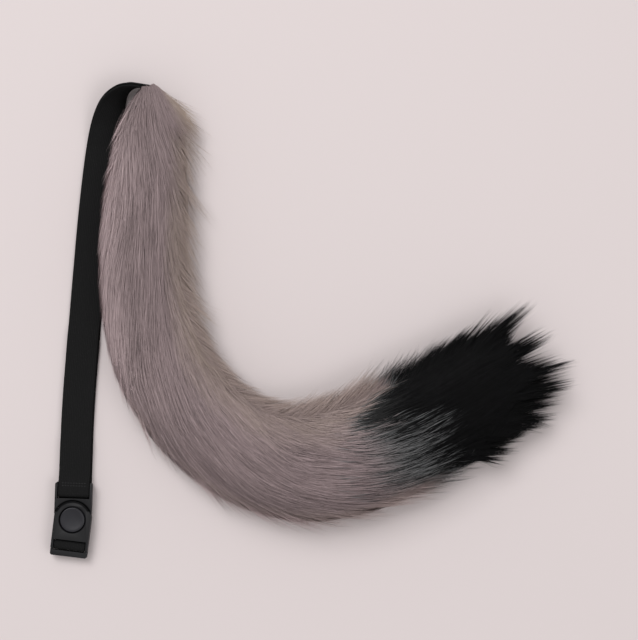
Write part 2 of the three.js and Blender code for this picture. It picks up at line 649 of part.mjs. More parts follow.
const tail = new THREE.Group();
tail.add(piece("tail_fur", greyFur, COLOURS.greyFur));
tail.add(piece("brush_fur", blackFur, COLOURS.blackFur));
tail.add(piece("waist_strap", strap(), COLOURS.webbing));
tail.add(piece("strap_plate", onStrap(strapPlate(), 0), COLOURS.plastic));
tail.add(piece("latch_case", onStrap(latch(), LATCH_TURN), COLOURS.plastic));
tail.add(piece("push_button", onStrap(button(), LATCH_TURN), COLOURS.button));

// The origin goes under the middle of the whole thing.
const extent = new THREE.Box3().setFromObject(tail, true);
const middle = extent.getCenter(new THREE.Vector3());
tail.children.forEach((mesh) => mesh.position.set(-middle.x, -middle.y, -extent.min.z));

export default tail;
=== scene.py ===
"""A curled fur costume tail with a black brush end, on a folded waist strap, lying on a pale table."""
import math

import bmesh
import bpy
import numpy as np
from mathutils import Matrix, Vector


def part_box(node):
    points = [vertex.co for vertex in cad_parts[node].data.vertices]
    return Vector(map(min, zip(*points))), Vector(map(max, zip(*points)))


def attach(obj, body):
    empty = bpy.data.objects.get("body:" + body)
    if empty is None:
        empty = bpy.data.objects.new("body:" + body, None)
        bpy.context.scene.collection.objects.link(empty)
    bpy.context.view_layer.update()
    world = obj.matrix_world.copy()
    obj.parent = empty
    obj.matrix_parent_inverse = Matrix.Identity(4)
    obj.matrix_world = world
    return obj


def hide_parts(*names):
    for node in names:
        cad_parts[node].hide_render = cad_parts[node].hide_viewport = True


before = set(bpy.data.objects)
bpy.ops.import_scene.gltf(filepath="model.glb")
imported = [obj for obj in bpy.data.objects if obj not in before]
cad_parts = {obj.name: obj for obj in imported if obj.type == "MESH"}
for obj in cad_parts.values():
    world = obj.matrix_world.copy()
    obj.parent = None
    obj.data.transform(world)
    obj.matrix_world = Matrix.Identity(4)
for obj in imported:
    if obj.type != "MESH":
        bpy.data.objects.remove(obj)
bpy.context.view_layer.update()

bl_info = {
    "name": "Costume Tail",
    "version": (1, 0, 0),
    "blender": (4, 5, 0),
    "location": "View3D > Sidebar > Costume Tail",
    "description": "Dresses the fur tail, its waist strap and its round-button buckle",
    "category": "Object",
}

BODY = "tail"
BUTTON_BODY = "button"
MM = 0.001

# Sizes that the solids share, in millimetres. The section's middle and belly are shares of its
# height, and the latch's turn is in degrees.
TAIL_LENGTH = 595.0
TAIL_WIDTH = 112.0
TAIL_HEIGHT = 64.0
SKIN_DEPTH = 6.0
SECTION_MIDDLE = 0.42
SECTION_BELLY = 0.56
STRAP_WIDTH = 25.0
STRAP_THICKNESS = 1.5
LAYER_GAP = 0.3
STRAP_REACH = 366.0
SEWN_LENGTH = 17.0
FREE_END_REACH = 143.0
FOLDED_END_LENGTH = 30.0
LATCH_TURN = -5.0

# The tail's sections: share of the length, heading in degrees, then width, height and underside
# as shares of the full width and height.
TAIL_SECTIONS = (
    # along, heading, width, height, base
    (0.0, 279, 0.15, 0.32, 0.1),
    (0.027, 286, 0.36, 0.42, 0.06),
    (0.055, 280, 0.51, 0.54, 0.03),
    (0.1, 267, 0.59, 0.66, 0.01),
    (0.15, 266, 0.64, 0.76, 0.0),
    (0.22, 270, 0.67, 0.84, 0.0),
    (0.3, 276, 0.7, 0.9, 0.0),
    (0.38, 293, 0.75, 0.95, 0.0),
    (0.46, 314, 0.78, 1.0, 0.0),
    (0.54, 334, 0.84, 1.0, 0.0),
    (0.61, 357, 0.9, 0.98, 0.0),
    (0.68, 379, 0.97, 0.96, 0.0),
    (0.76, 390, 1.0, 0.94, 0.0),
    (0.83, 390, 0.95, 0.86, 0.0),
    (0.88, 386, 0.89, 0.74, 0.0),
    (0.92, 379, 0.76, 0.57, 0.02),
    (0.955, 372, 0.42, 0.36, 0.05),
)

# How the pile fans out past the core's end, in the same columns but for the heading.
BRUSH_FAN = (
    # along, width, height, base
    (0.84, 0.95, 0.84, 0.0),
    (0.88, 0.9, 0.74, 0.0),
    (0.92, 0.85, 0.6, 0.02),
    (0.96, 0.78, 0.46, 0.06),
    (1.0, 0.66, 0.36, 0.1),
)

# How far the close pile keeps inside the fur's full form, which only the wisps reach, in millimetres.
PILE_INSET = (
    # along, inside the curl, outside
    (0.0, 1.0, 0.0),
    (0.02, 3.0, -4.0),
    (0.05, 6.0, -4.5),
    (0.1, 11.0, -4.0),
    (0.28, 11.0, -3.0),
    (0.36, 8.0, 0.0),
    (0.42, 6.0, 3.5),
    (0.5, 5.5, 5.0),
    (0.58, 6.0, 7.0),
    (0.66, 7.0, 11.0),
    (0.72, 8.5, 13.5),
    (0.78, 9.5, 13.5),
    (0.86, 8.5, 11.5),
    (0.92, 7.0, 10.0),
)

# The pointed tufts that end the brush: shares of the length, of half the width towards the inside
# of the curl, of the height, and how thick each is.
TIP_TUFTS = (
    # from along, from side, to along, to side, level, thick
    (0.8, 0.74, 0.907, 0.93, 0.3, 0.8),
    (0.84, 0.6, 0.965, 0.98, 0.34, 1.1),
    (0.86, 0.4, 0.984, 0.51, 0.44, 0.9),
    (0.86, 0.14, 1.003, 0.02, 0.24, 1.1),
    (0.86, -0.06, 1.0, -0.23, 0.36, 1.1),
    (0.85, -0.26, 0.98, -0.44, 0.22, 1.0),
    (0.84, -0.42, 0.966, -0.62, 0.32, 1.0),
    (0.82, -0.6, 0.922, -0.74, 0.2, 1.0),
    (0.8, -0.68, 0.888, -0.92, 0.28, 1.0),
)

# The strap's lie: share of its reach, heading, roll in degrees, and the lower edge's lift as a
# share of its width. Beside the root it leans a little further in than the solid does.
STRAP_LIE = (
    # along, heading, roll, lift
    (0.0, 170, 96, 0.13),
    (0.018, 176, 95, 0.12),
    (0.038, 203, 88, 0.08),
    (0.064, 230, 68, 0.05),
    (0.095, 247, 40, 0.02),
    (0.14, 257, 14, 0.0),
    (0.19, 261, 0, 0.0),
    (0.24, 263, 0, 0.0),
    (0.4, 265, 0, 0.0),
    (0.7, 265.5, 0, 0.0),
    (0.82, 268, 0, 0.0),
    (0.995, 268, 0, 0.0),
    (1.005, 268 + LATCH_TURN, 0, 0.0),
)

COLOUR = {"subtype": "COLOR", "size": 3, "min": 0, "max": 1}
LENGTH = {"subtype": "DISTANCE", "unit": "LENGTH"}


class TailSizes(bpy.types.PropertyGroup):
    """Sizes and colours of the fur."""

    hair_width: bpy.props.FloatProperty(
        name="Hair width",
        description="Width of one lock of hairs at its widest",
        default=0.00035,
        min=0.0001,
        **LENGTH,
    )
    hair_length: bpy.props.FloatProperty(
        name="Hair length",
        description="Length of the pile on the tail's body",
        default=0.054,
        min=0.005,
        **LENGTH,
    )
    hairs_per_piece: bpy.props.IntProperty(
        name="Hairs per piece",
        description="How many locks of hairs each of the pile's pieces has",
        default=20000,
        min=100,
        max=28000,
    )
    seed: bpy.props.IntProperty(
        name="Seed",
        description="Another seed lays the hairs differently",
        default=11,
    )
    grey_dark: bpy.props.FloatVectorProperty(
        name="Grey pile, root",
        description="Colour of the grey pile near its roots",
        default=(0.16, 0.12, 0.121),
        **COLOUR,
    )
    grey_light: bpy.props.FloatVectorProperty(
        name="Grey pile, tip",
        description="Colour of the grey pile towards its tips",
        default=(0.372, 0.286, 0.291),
        **COLOUR,
    )
    # Partly the thin wisps' own yellowish colour and partly painted light that shines through them.
    khaki: bpy.props.FloatVectorProperty(
        name="Pile at the inner edge",
        description="Colour of the yellowish wisps on the inside of the curl",
        default=(0.46, 0.37, 0.3),
        **COLOUR,
    )
    # Painted light: the outer edge's thin hairs are painted in this lighter colour, as if lit.
    painted_rim: bpy.props.FloatVectorProperty(
        name="Pile at the outer edge",
        description="Colour of the thin, light-filled hairs at the outside of the curl",
        default=(0.6, 0.47, 0.48),
        **COLOUR,
    )
    # Painted sheen: this cool grey stands for light shining off the first black hairs.
    painted_sheen: bpy.props.FloatVectorProperty(
        name="Pile before the brush",
        description="Colour of the cool grey hairs that run into the black",
        default=(0.15, 0.155, 0.158),
        **COLOUR,
    )
    black: bpy.props.FloatVectorProperty(
        name="Black pile",
        description="Colour of the brush",
        default=(0.0034, 0.0034, 0.0037),
        **COLOUR,
    )


class StrapSizes(bpy.types.PropertyGroup):
    """Sizes and colours of the strap and the buckle."""

    webbing: bpy.props.FloatVectorProperty(
        name="Webbing",
        description="Colour of the elastic strap",
        default=(0.0064, 0.0064, 0.0066),
        **COLOUR,
    )
    thread: bpy.props.FloatVectorProperty(
        name="Thread",
        description="Colour of the sewing thread",
        default=(0.034, 0.034, 0.035),
        **COLOUR,
    )
    plastic: bpy.props.FloatVectorProperty(
        name="Buckle plastic",
        description="Colour of the buckle's two halves",
        default=(0.0085, 0.0085, 0.0095),
        **COLOUR,
    )
    button: bpy.props.FloatVectorProperty(
        name="Button plastic",
        description="Colour of the round button",
        default=(0.014, 0.0138, 0.0175),
        **COLOUR,
    )
    rib_pitch: bpy.props.FloatProperty(
        name="Rib pitch",
        description="Distance between the ribs across the elastic",
        default=0.0014,
        min=0.0002,
        **LENGTH,
    )
    edge_round: bpy.props.FloatProperty(
        name="Edge rounding",
        description="Radius of the buckle's moulded edges",
        default=0.00035,
        min=0,
        **LENGTH,
    )


class StudioSizes(bpy.types.PropertyGroup):
    """The table, the light and the camera."""

    table: bpy.props.FloatVectorProperty(
        name="Table",
        description="Colour of the table",
        default=(0.666, 0.602, 0.602),
        **COLOUR,
    )
    camera_height: bpy.props.FloatProperty(
        name="Camera height",
        description="Height of the camera above the table",
        default=1.5,
        min=0.3,
        **LENGTH,
    )
    view_width: bpy.props.FloatProperty(
        name="View width",
        description="Width of the table that the picture shows",
        default=0.5104,
        min=0.05,
        **LENGTH,
    )


# Shader maths


class Wire:
    """A shader socket or a plain number, so that maths on it reads as maths."""

    def __init__(self, nodes, value):
        self.nodes = nodes
        self.value = value

    def _math(self, operation, *others):
        return self.nodes.add("ShaderNodeMath", {"operation": operation}, [self, *others])

    def __add__(self, other):
        return self._math("ADD", other)

    __radd__ = __add__

    def __sub__(self, other):
        return self._math("SUBTRACT", other)

    def __rsub__(self, other):
        return self.nodes.wire(other)._math("SUBTRACT", self)

    def __mul__(self, other):
        return self._math("MULTIPLY", other)

    __rmul__ = __mul__

    def __pow__(self, other):
        return self._math("POWER", other)

    def sine(self):
        return self._math("SINE")

    def clamped(self):
        return self.nodes.add("ShaderNodeClamp", {}, [self])

    def part(self, name):
        return Wire(self.nodes, self.value.node.outputs[name])


class Finish:
    """A material and the nodes in it."""

    def __init__(self, name):
        self.material = bpy.data.materials.new(name)
        self.material.use_nodes = True
        self.tree = self.material.node_tree
        self.shader = self.tree.nodes["Principled BSDF"]

    def wire(self, value):
        return value if isinstance(value, Wire) else Wire(self, value)

    def add(self, kind, settings, values):
        """A node of a kind, with its settings set first and then its inputs by place or by name."""
        node = self.tree.nodes.new(kind)
        for name, value in settings.items():
            setattr(node, name, value)
        pairs = values.items() if isinstance(values, dict) else enumerate(values)
        for place, value in pairs:
            self.plug(node.inputs[place], value)
        return Wire(self, next(o for o in node.outputs if o.enabled))

    def plug(self, socket, value):
        value = value.value if isinstance(value, Wire) else value
        if isinstance(value, bpy.types.NodeSocket):
            self.tree.links.new(value, socket)
        else:
            socket.default_value = value

    def attribute(self, name):
        return self.add("ShaderNodeAttribute", {"attribute_name": name}, []).part("Fac")

    def place(self):
        return self.add("ShaderNodeTexCoord", {}, []).part("Object")

    def noise(self, place, scale, detail):
        values = {"Vector": place, "Scale": scale, "Detail": detail}
        return self.add("ShaderNodeTexNoise", {}, values).part("Fac")

    def bump(self, strength, distance, height):
        values = {"Strength": strength, "Distance": distance, "Height": height}
        return self.add("ShaderNodeBump", {}, values)

    def mix(self, share, first, second):
        node = self.tree.nodes.new("ShaderNodeMix")
        node.data_type = "RGBA"
        self.plug(node.inputs["Factor"], share)
        self.plug(node.inputs["A"], colour(first))
        self.plug(node.inputs["B"], colour(second))
        return Wire(self, node.outputs["Result"])

    def paint_shade(self, share, base):
        """Painted shade: where the share is 1 the surface is a plain dull colour in place of its own."""
        plain = self.tree.nodes.new("ShaderNodeBsdfDiffuse")
        plain.inputs["Color"].default_value = colour(base)
        both = self.tree.nodes.new("ShaderNodeMixShader")
        self.plug(both.inputs["Fac"], share)
        self.tree.links.new(self.shader.outputs["BSDF"], both.inputs[1])
        self.tree.links.new(plain.outputs["BSDF"], both.inputs[2])
        output = self.tree.nodes["Material Output"]
        self.tree.links.new(both.outputs["Shader"], output.inputs["Surface"])

    def set(self, **sockets):
        for name, value in sockets.items():
            self.plug(self.shader.inputs[name.replace("_", " ")], value)


def colour(value):
    if isinstance(value, (Wire, bpy.types.NodeSocket)):
        return value
    return (*value[:3], 1.0)


def shade(share, tone):
    """A colour made darker or lighter by a factor."""
    return [share * part for part in tone]


# The tail as a field: a share of its length, an angle round it and a rise above its skin.


def column(table, place, along):
    return np.interp(along, [row[0] for row in table], [row[place] for row in table])


def smoothed(values, reach):
    """Values along an even row, each averaged with its neighbours."""
    spread = np.arange(-3 * reach, 3 * reach + 1)
    weights = np.exp(-0.5 * (spread / reach) ** 2)
    padded = np.pad(values, 3 * reach, mode="edge")
    return np.convolve(padded, weights / weights.sum(), mode="valid")


ROUTE_STEP = 1.0


class Route:
    """A level line that follows a table's headings from the origin."""

    def __init__(self, table, length, reach, even=0):
        count = int(math.ceil(reach * length / ROUTE_STEP))
        middles = (np.arange(count) + 0.5) * ROUTE_STEP / length
        heading = column(table, 1, middles)
        heading = np.radians(smoothed(heading, even) if even else heading)
        steps = np.stack([np.cos(heading), np.sin(heading)], 1) * ROUTE_STEP
        self.points = np.vstack([[0, 0], np.cumsum(steps, 0)])
        self.places = np.arange(count + 1) * ROUTE_STEP
        self.headings = np.interp(self.places, middles * length, heading)

    def at(self, distance):
        """Points, forward and left directions at distances, run straight on past both ends."""
        distance = np.asarray(distance, float)
        heading = np.interp(distance, self.places, self.headings)
        forward = np.stack([np.cos(heading), np.sin(heading)], -1)
        left = np.stack([-forward[..., 1], forward[..., 0]], -1)
        inside = np.clip(distance, 0, self.places[-1])
        point = np.stack([np.interp(inside, self.places, self.points[:, k]) for k in (0, 1)], -1)
        return point + forward * (distance - inside)[..., None], forward, left


TAIL_ROUTE = Route(TAIL_SECTIONS, TAIL_LENGTH, 1.0, even=9)
STRAP_ROUTE = Route(STRAP_LIE, STRAP_REACH, 1.1)

# The shares of the tail's length at which its smooth sections are kept.
FINE = np.linspace(-0.02, 1.08, 1101)
SECTION_EVEN = 8
HEADING_EVEN = 12

CORE = {
    name: smoothed(column(TAIL_SECTIONS, place, FINE), SECTION_EVEN)
    for place, name in enumerate(("width", "height", "base"), 2)
}
FAN = {
    name: np.where(FINE < BRUSH_FAN[0][0], CORE[name], column(BRUSH_FAN, place, FINE))
    for place, name in enumerate(("width", "height", "base"), 1)
}

# The tail's heading in radians at the same shares.
HEADINGS = smoothed(np.interp(FINE * TAIL_LENGTH, TAIL_ROUTE.places, TAIL_ROUTE.headings), HEADING_EVEN)


def solids_origin():
    """Where the solids' own origin lies in the frame, in millimetres."""
    low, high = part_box("push_button")
    middle = (np.array(low) + np.array(high)) / 2 / MM
    return middle[:2] - STRAP_ROUTE.at(STRAP_REACH)[0]


SHIFT = solids_origin()

# How far a stray hair may stand off the skin in millimetres. A hair that lies past the edge sinks
# below the widest place by a share of how far past it is, down to a share of the belly.
STRAY_REACH = 4.5
DROOP = 0.85
LOWEST_DROOP = 0.72

# The least half width and half height of the skin, in millimetres.
THINNEST = 2.0


def on_tail(along, angle, rise, form=CORE, shift=0.0):
    """Places in millimetres and outward directions at shares along the tail, angles in degrees round
    it (0 inside the curl, 90 on top) and a rise above its skin. A shift towards the inside of the
    curl slides a place over the skin, down round its edge and a little off it."""
    along, angle, rise, shift = np.broadcast_arrays(along, angle, rise, shift)
    point, _, left = TAIL_ROUTE.at(along * TAIL_LENGTH)
    width, height, base = (np.interp(along, FINE, form[name]) for name in ("width", "height", "base"))
    height, base = height * TAIL_HEIGHT, base * TAIL_HEIGHT
    around = np.cos(np.radians(angle))
    inset = np.where(around > 0, column(PILE_INSET, 1, along), column(PILE_INSET, 2, along))
    half = np.maximum(width * TAIL_WIDTH / 2 - SKIN_DEPTH - inset, THINNEST)
    top = np.maximum(height * (1 - SECTION_MIDDLE) - SKIN_DEPTH, THINNEST)
    moved = half * around + shift
    past = moved - np.clip(moved, -half, half)
    stray = STRAY_REACH * np.tanh(past / STRAY_REACH)
    # Across and up on the section, each as a share of its half. Past the edge both go below it.
    across = np.clip(moved / half, -1, 1)
    up = np.where(np.sin(np.radians(angle)) < 0, -1, 1) * np.sqrt(1 - across * across)
    below = np.minimum(DROOP * np.abs(past) / np.maximum(height * SECTION_BELLY, 1), LOWEST_DROOP)
    up = np.where(past == 0, up, -below)
    across = np.where(past == 0, across, np.sign(across) * np.sqrt(1 - below * below))
    vertical = np.where(up > 0, top, height * SECTION_BELLY)
    out = np.stack([across / half, up / vertical], -1)
    out /= np.linalg.norm(out, axis=-1, keepdims=True)
    side = half * across + stray + rise * out[..., 0]
    level = base + height * SECTION_MIDDLE + up * vertical + rise * out[..., 1]
    place = np.concatenate([point + left * side[..., None] + SHIFT, level[..., None]], -1)
    outward = np.concatenate([left * out[..., :1], out[..., 1:]], -1)
    return place, outward


def above_table(place, clearance):
    place[..., 2] = np.maximum(place[..., 2], clearance)
    return place


# Hairs

# How far along the pile reaches before only the brush's tufts go on: half the tail's width from
# outside the curl (-1) to inside it (1), and the share of the length.
PILE_END = (
    # side, along
    (-1.0, 0.79),
    (-0.75, 0.84),
    (-0.58, 0.87),
    (-0.34, 0.915),
    (-0.17, 0.95),
    (0.0, 0.96),
    (0.17, 0.95),
    (0.42, 0.93),
    (0.7, 0.935),
    (0.9, 0.93),
    (1.0, 0.91),
)

# Over what share of the length the last hairs thin out.
FADE = 0.05

# Where the neck's splay towards the inside of the curl is over, over what share it fades, and how
# strong it is.
NECK_END = 0.42
NECK_FADE = 0.12
NECK_SPLAY = 0.13

# The stops along a hair as shares of its length, and its width at each as a share of its widest.
STOPS = np.array([0.0, 0.22, 0.46, 0.72, 1.0])
TAPER = np.array([0.7, 1.0, 1.0, 0.75, 0.0])

# How much the skin's direction, the hair's own and the sky's count in the light on a hair.
SKIN_LIGHT = 0.28
OWN_LIGHT = 0.2
SKY_LIGHT = 0.52


def unit(vectors):
    return vectors / (np.linalg.norm(vectors, axis=-1, keepdims=True) + 1e-9)


def corner_values(stops):
    """What is given at a hair's stops, for each of its corners: two at every stop, one at the tip."""
    return np.concatenate([np.repeat(stops[:, :-1], 2, axis=1), stops[:, -1:]], 1)


class Hairs:
    """Rows of hairs, each a line of places with an outward direction, a width and its colour's shares."""

    def __init__(self):
        self.rows = []

    def add(self, places, outward, width, roll, tint_and_painted_light, black, khaki, painted_rim):
        self.rows.append((places, outward, width, roll, tint_and_painted_light, black, khaki, painted_rim))

    def piece(self, name):
        """One mesh of flat tapering hairs, in metres. Light falls on them as on deep soft pile, so
        their normals are the skin's and the sky's more than their own."""
        joined = [np.concatenate(part) for part in zip(*self.rows)]
        places, outward, width, roll, tint_and_painted_light, black, khaki, painted_rim = joined
        count, stops = places.shape[:2]
        tangent = unit(np.gradient(places, axis=1))
        across = unit(np.cross(tangent, outward))
        face = np.cross(across, tangent)
        roll = roll[:, None, None]
        flat = across * np.cos(roll) + face * np.sin(roll)
        half = (width[:, None] * TAPER / 2)[..., None]
        left, right = places - flat * half, places + flat * half
        ring = np.stack([left[:, :-1], right[:, :-1]], 2).reshape(count, -1, 3)
        corners = above_table(np.concatenate([ring, places[:, -1:]], 1), 0.15)
        per = corners.shape[1]
        quads = np.array([[2 * k, 2 * k + 1, 2 * k + 3, 2 * k + 2] for k in range(stops - 2)])
        tip = np.array([per - 3, per - 2, per - 1])
        start = (np.arange(count) * per)[:, None]
        loops = np.concatenate([start + quads.reshape(1, -1), start + tip[None]], 1)
        sizes = np.tile([4] * (stops - 2) + [3], count)
        starts = np.concatenate([[0], np.cumsum(sizes)[:-1]]).astype(np.int32)
        mesh = bpy.data.meshes.new(name)
        mesh.vertices.add(count * per)
        mesh.vertices.foreach_set("co", (corners * MM).astype(np.float32).ravel())
        mesh.loops.add(loops.size)
        mesh.loops.foreach_set("vertex_index", loops.astype(np.int32).ravel())
        mesh.polygons.add(len(sizes))
        mesh.polygons.foreach_set("loop_start", starts)
        mesh.polygons.foreach_set("use_smooth", np.ones(len(sizes), bool))
        mesh.update(calc_edges=True)
        shares = np.append(np.repeat(STOPS[:-1], 2), 1.0)
        self._attribute(mesh, "hair_along", np.tile(shares, count))
        for kind, values in (("tint_and_painted_light", tint_and_painted_light), ("khaki", khaki), ("painted_rim", painted_rim)):
            self._attribute(mesh, "hair_" + kind, np.repeat(values, per))
        self._attribute(mesh, "hair_black", corner_values(black).ravel())
        self._bake_map(mesh, count, shares, loops)
        own = face * np.cos(roll) - across * np.sin(roll)
        normal = unit(outward * SKIN_LIGHT + own * OWN_LIGHT + np.array([0, 0, SKY_LIGHT]))
        mesh.normals_split_custom_set_from_vertices(corner_values(normal).reshape(-1, 3).tolist())
        piece = bpy.data.objects.new(name, mesh)
        bpy.context.collection.objects.link(piece)
        return piece

    @staticmethod
    def _attribute(mesh, name, values):
        layer = mesh.attributes.new(name, "FLOAT", "POINT")
        layer.data.foreach_set("value", np.asarray(values, np.float32))

    @staticmethod
    def _bake_map(mesh, count, up, loops):
        """Each hair gets its own small cell of the bake map, with its root at the bottom."""
        cells = int(math.ceil(math.sqrt(count)))
        number = np.arange(count)
        corner = np.stack([number % cells, number // cells], 1) / cells
        side = [0.0, 1.0] * (len(STOPS) - 1) + [0.5]
        inside = (0.2 + 0.6 * np.stack([side, up], 1)) / cells
        corners = (corner[:, None] + inside[None]).reshape(-1, 2)
        layer = mesh.uv_layers.new(name="OFBake")
        layer.data.foreach_set("uv", corners[loops.ravel()].astype(np.float32).ravel())


WAVES = 7


def wave_noise(rng, x, y, scale):
    """A smooth random field between about -1 and 1."""
    total = np.zeros(np.broadcast(x, y).shape)
    for _ in range(WAVES):
        turn, phase = rng.uniform(0, 2 * np.pi, 2)
        pace = rng.uniform(0.5, 1.6) / scale
        total += np.sin((x * np.cos(turn) + y * np.sin(turn)) * pace * 2 * np.pi + phase)
    return total / math.sqrt(WAVES)


# Streaks and patches in the pile: how strong they are, how many times longer than wide, and how
# wide in millimetres.
TINT_STREAKS = (0.75, 26, 2.0)
TINT_PATCHES = (0.34, 4, 15)
# This noise breaks the bend's painted shade into clumps.
BEND_SHADE_NOISE = (0.8, 2, 14)
BLACK_STREAKS = (1.15, 34, 1.9)


def long_noise(rng, kind, far, across):
    strength, longer, width = kind
    return strength * wave_noise(rng, far / longer, across, width)


# Where the black pile begins: the place round the tail (1 inside the curl, -1 outside), the share of
# the length where half the hairs are black, and over what share of the length the change goes.
BLACK_START = (
    # side, along, spread
    (-1.3, 0.85, 0.03),
    (-1.05, 0.8, 0.035),
    (-0.85, 0.762, 0.035),
    (-0.6, 0.738, 0.045),
    (-0.1, 0.742, 0.055),
    (0.25, 0.738, 0.05),
    (0.5, 0.718, 0.032),
    (0.66, 0.694, 0.016),
    (0.8, 0.704, 0.014),
    (0.9, 0.745, 0.018),
    (0.98, 0.785, 0.02),
    (1.06, 0.8, 0.022),
    (1.3, 0.85, 0.03),
)

# How black the cool grey hairs before the brush are, whose grey is a painted sheen on the first
# black hairs, and where round the tail they end.
SHEEN_LEVEL = 0.42
SHEEN_SIDE = ((0.3, 1.0), (0.6, 0.0))

# How the pile's look changes along the tail, in pairs of a share of the length and a value: how
# strong its streaks are, how much painted light lightens the outer edge, how much painted light
# lightens the inner edge and how khaki it is, and round which side (1 inside the curl, -1 outside)
# the bend's clumps of painted shade lie.
STREAK_STRENGTH = ((0.25, 1.0), (0.4, 1.6))
RIM_LIGHT = ((0.0, 0.3), (0.08, 1.0), (0.3, 1.0), (0.37, 0.2))
KHAKI_PAINTED_LIGHT = ((0.0, 0.6), (0.1, 0.5), (0.4, 1.1))
KHAKI_SHARE = ((0.3, 1.0), (0.42, 0.6))
SHADE_SIDE = ((0.3, -0.86), (0.38, -0.84), (0.43, -0.76), (0.48, -0.6), (0.55, -0.68))
SHADE_HALF_WIDTH = 0.33

# How much painted shade darkens the clumps and the bend beside its outer edge, how much painted
# light lightens that edge, and its share of khaki.
CLUMP_SHADE = 1.7
BEND_SHADE = 0.4
OUTER_PAINTED_LIGHT = 1.5
OUTER_KHAKI = 0.55

# How far streaks lag behind the curl, as shares of a hair's length: those in the pile's tint and
# those in the black that runs into the grey.
TINT_LAG = 0.4
BLACK_LAG = 0.9

# The random numbers that the hairs of one lock share.
LOCK_CODES = 4096
LONGER, TURNED, RAISED, ROLLED, TINTED = range(5)


def grown(value, start, pace):
    """0 up to a start, and from there up to 1 at a pace."""
    return np.clip((value - start) * pace, 0, 1)


def blackness(along, side, jitter):
    """How black a hair is at shares along the tail: 0 grey-brown, about 0.4 cool grey, 1 black. The
    hairs among the first black ones are cool grey on the tail's outer half, a painted sheen on them."""
    start = column(BLACK_START, 1, side)
    spread = column(BLACK_START, 2, side)
    x = np.clip((along - start + jitter * spread) / (0.4 * spread) + 0.5, 0, 1)
    near = np.clip((along - start + spread) / spread, 0, 1) * column(SHEEN_SIDE, 1, side)
    return np.maximum(x * x * (3 - 2 * x), SHEEN_LEVEL * near)


def combed(rng, sizes, count, first, last):
    """Hairs combed along the tail between two shares of its length. Each runs nearly straight, so in
    the bend it lags behind the curl."""
    hairs = Hairs()
    length = sizes.hair_length / MM
    along = rng.uniform(first, last, count)
    angle = rng.uniform(*PILE_ANGLES, count)
    # Fewer hairs where the tail is thin.
    girth = np.interp(along, FINE, CORE["width"])
    keep = rng.uniform(0, 1, count) < (0.35 + 0.65 * girth / girth.max())
    along, angle = along[keep], angle[keep]
    count = len(along)
    half = np.interp(along, FINE, CORE["width"]) * TAIL_WIDTH / 2
    across = np.radians(angle) * half
    far = along * TAIL_LENGTH
    # Neighbours gather a little towards a shared line, as in combed locks.
    cell_long = np.floor(far / LOCK_LENGTH + wave_noise(rng, far, across, 2 * LOCK_LENGTH))
    cell_wide = np.floor(across / LOCK_WIDTH + 0.7 * wave_noise(rng, far, across, 40))
    code = (cell_long * 7919 + cell_wide * 104729).astype(np.int64) % LOCK_CODES
    lock = rng.uniform(-1, 1, (LOCK_CODES, 6))[code].T
    gather_angle = np.degrees((cell_wide + 0.5) * LOCK_WIDTH / half)
    long = length * rng.uniform(*LENGTH_SPREAD, count) * (1 + 0.1 * lock[LONGER])
    end_along = along + long / TAIL_LENGTH
    # Towards the brush's end the hairs get shorter.
    room = column(PILE_END, 1, half * np.cos(np.radians(angle)) / (TAIL_WIDTH / 2)) - FADE
    over = np.maximum(end_along - room, 0)
    faded = FADE * (1 - np.exp(-over / FADE))
    end_along = np.minimum(end_along, room) + faded + rng.normal(0, 0.005, count)
    drift = PILE_SWAY * wave_noise(rng, far, across, SWAY_LENGTH) + LOCK_TURN * lock[TURNED]
    drift = drift + rng.normal(0, 1.5, count)
    pull = PILE_GATHER * rng.uniform(0.4, 1, count)
    end_angle = angle + drift + pull * (gather_angle - angle)
    rise = PILE_RISE * rng.uniform(0.1, 1, count) * (1 + 0.15 * lock[RAISED])
    t = STOPS[None]
    path_along = along[:, None] + (end_along - along)[:, None] * t
    path_angle = angle[:, None] + (end_angle - angle)[:, None] * t**1.3
    run = long[:, None] * t
    side = np.cos(np.radians(angle))[:, None]
    turn = np.interp(path_along, FINE, HEADINGS)
    turn = turn - turn[:, :1]
    steps = np.diff(run, axis=1) * (turn[:, 1:] + turn[:, :-1]) / 2
    lag = np.concatenate([np.zeros((count, 1)), np.cumsum(steps, 1)], 1) * PILE_LAG
    neck = np.clip((NECK_END - along) / NECK_FADE, 0, 1)[:, None]
    moved = NECK_SPLAY * run * t * neck * np.clip(side - 0.05, 0, 1) - lag
    # The underside's hairs are pressed flat and move less.
    moved = moved * np.clip(0.35 + 1.2 * np.sin(np.radians(path_angle)), 0, 1)
    loose = rng.exponential(LOOSE_REACH, count) * np.clip((np.abs(side[:, 0]) - 0.55) / 0.3, 0, 1)
    moved = moved + np.sign(side) * loose[:, None] * t**1.6
    uneven = rng.normal(0, 0.2, (count, len(STOPS))) * (t > 0)
    lift = rise[:, None] * (1 - (1 - t) ** 2.2) + uneven - ROOT_SINK
    core, out_core = on_tail(path_along, path_angle, lift, CORE, moved)
    fan, out_fan = on_tail(path_along, path_angle, lift, FAN, moved)
    share = (t**1.2)[..., None]
    places = above_table(core * (1 - share) + fan * share, 0.4)
    outward = out_core * (1 - share) + out_fan * share
    outward /= np.linalg.norm(outward, axis=-1, keepdims=True)
    width = sizes.hair_width / MM * rng.uniform(*WIDTH_SPREAD, count)
    roll = rng.normal(0, 0.3, count) + 0.15 * lock[ROLLED]
    shares = pile_colours(rng, along, angle, across, length, lock[TINTED], path_along, path_angle)
    hairs.add(places, outward, width, roll, *shares)
    return hairs


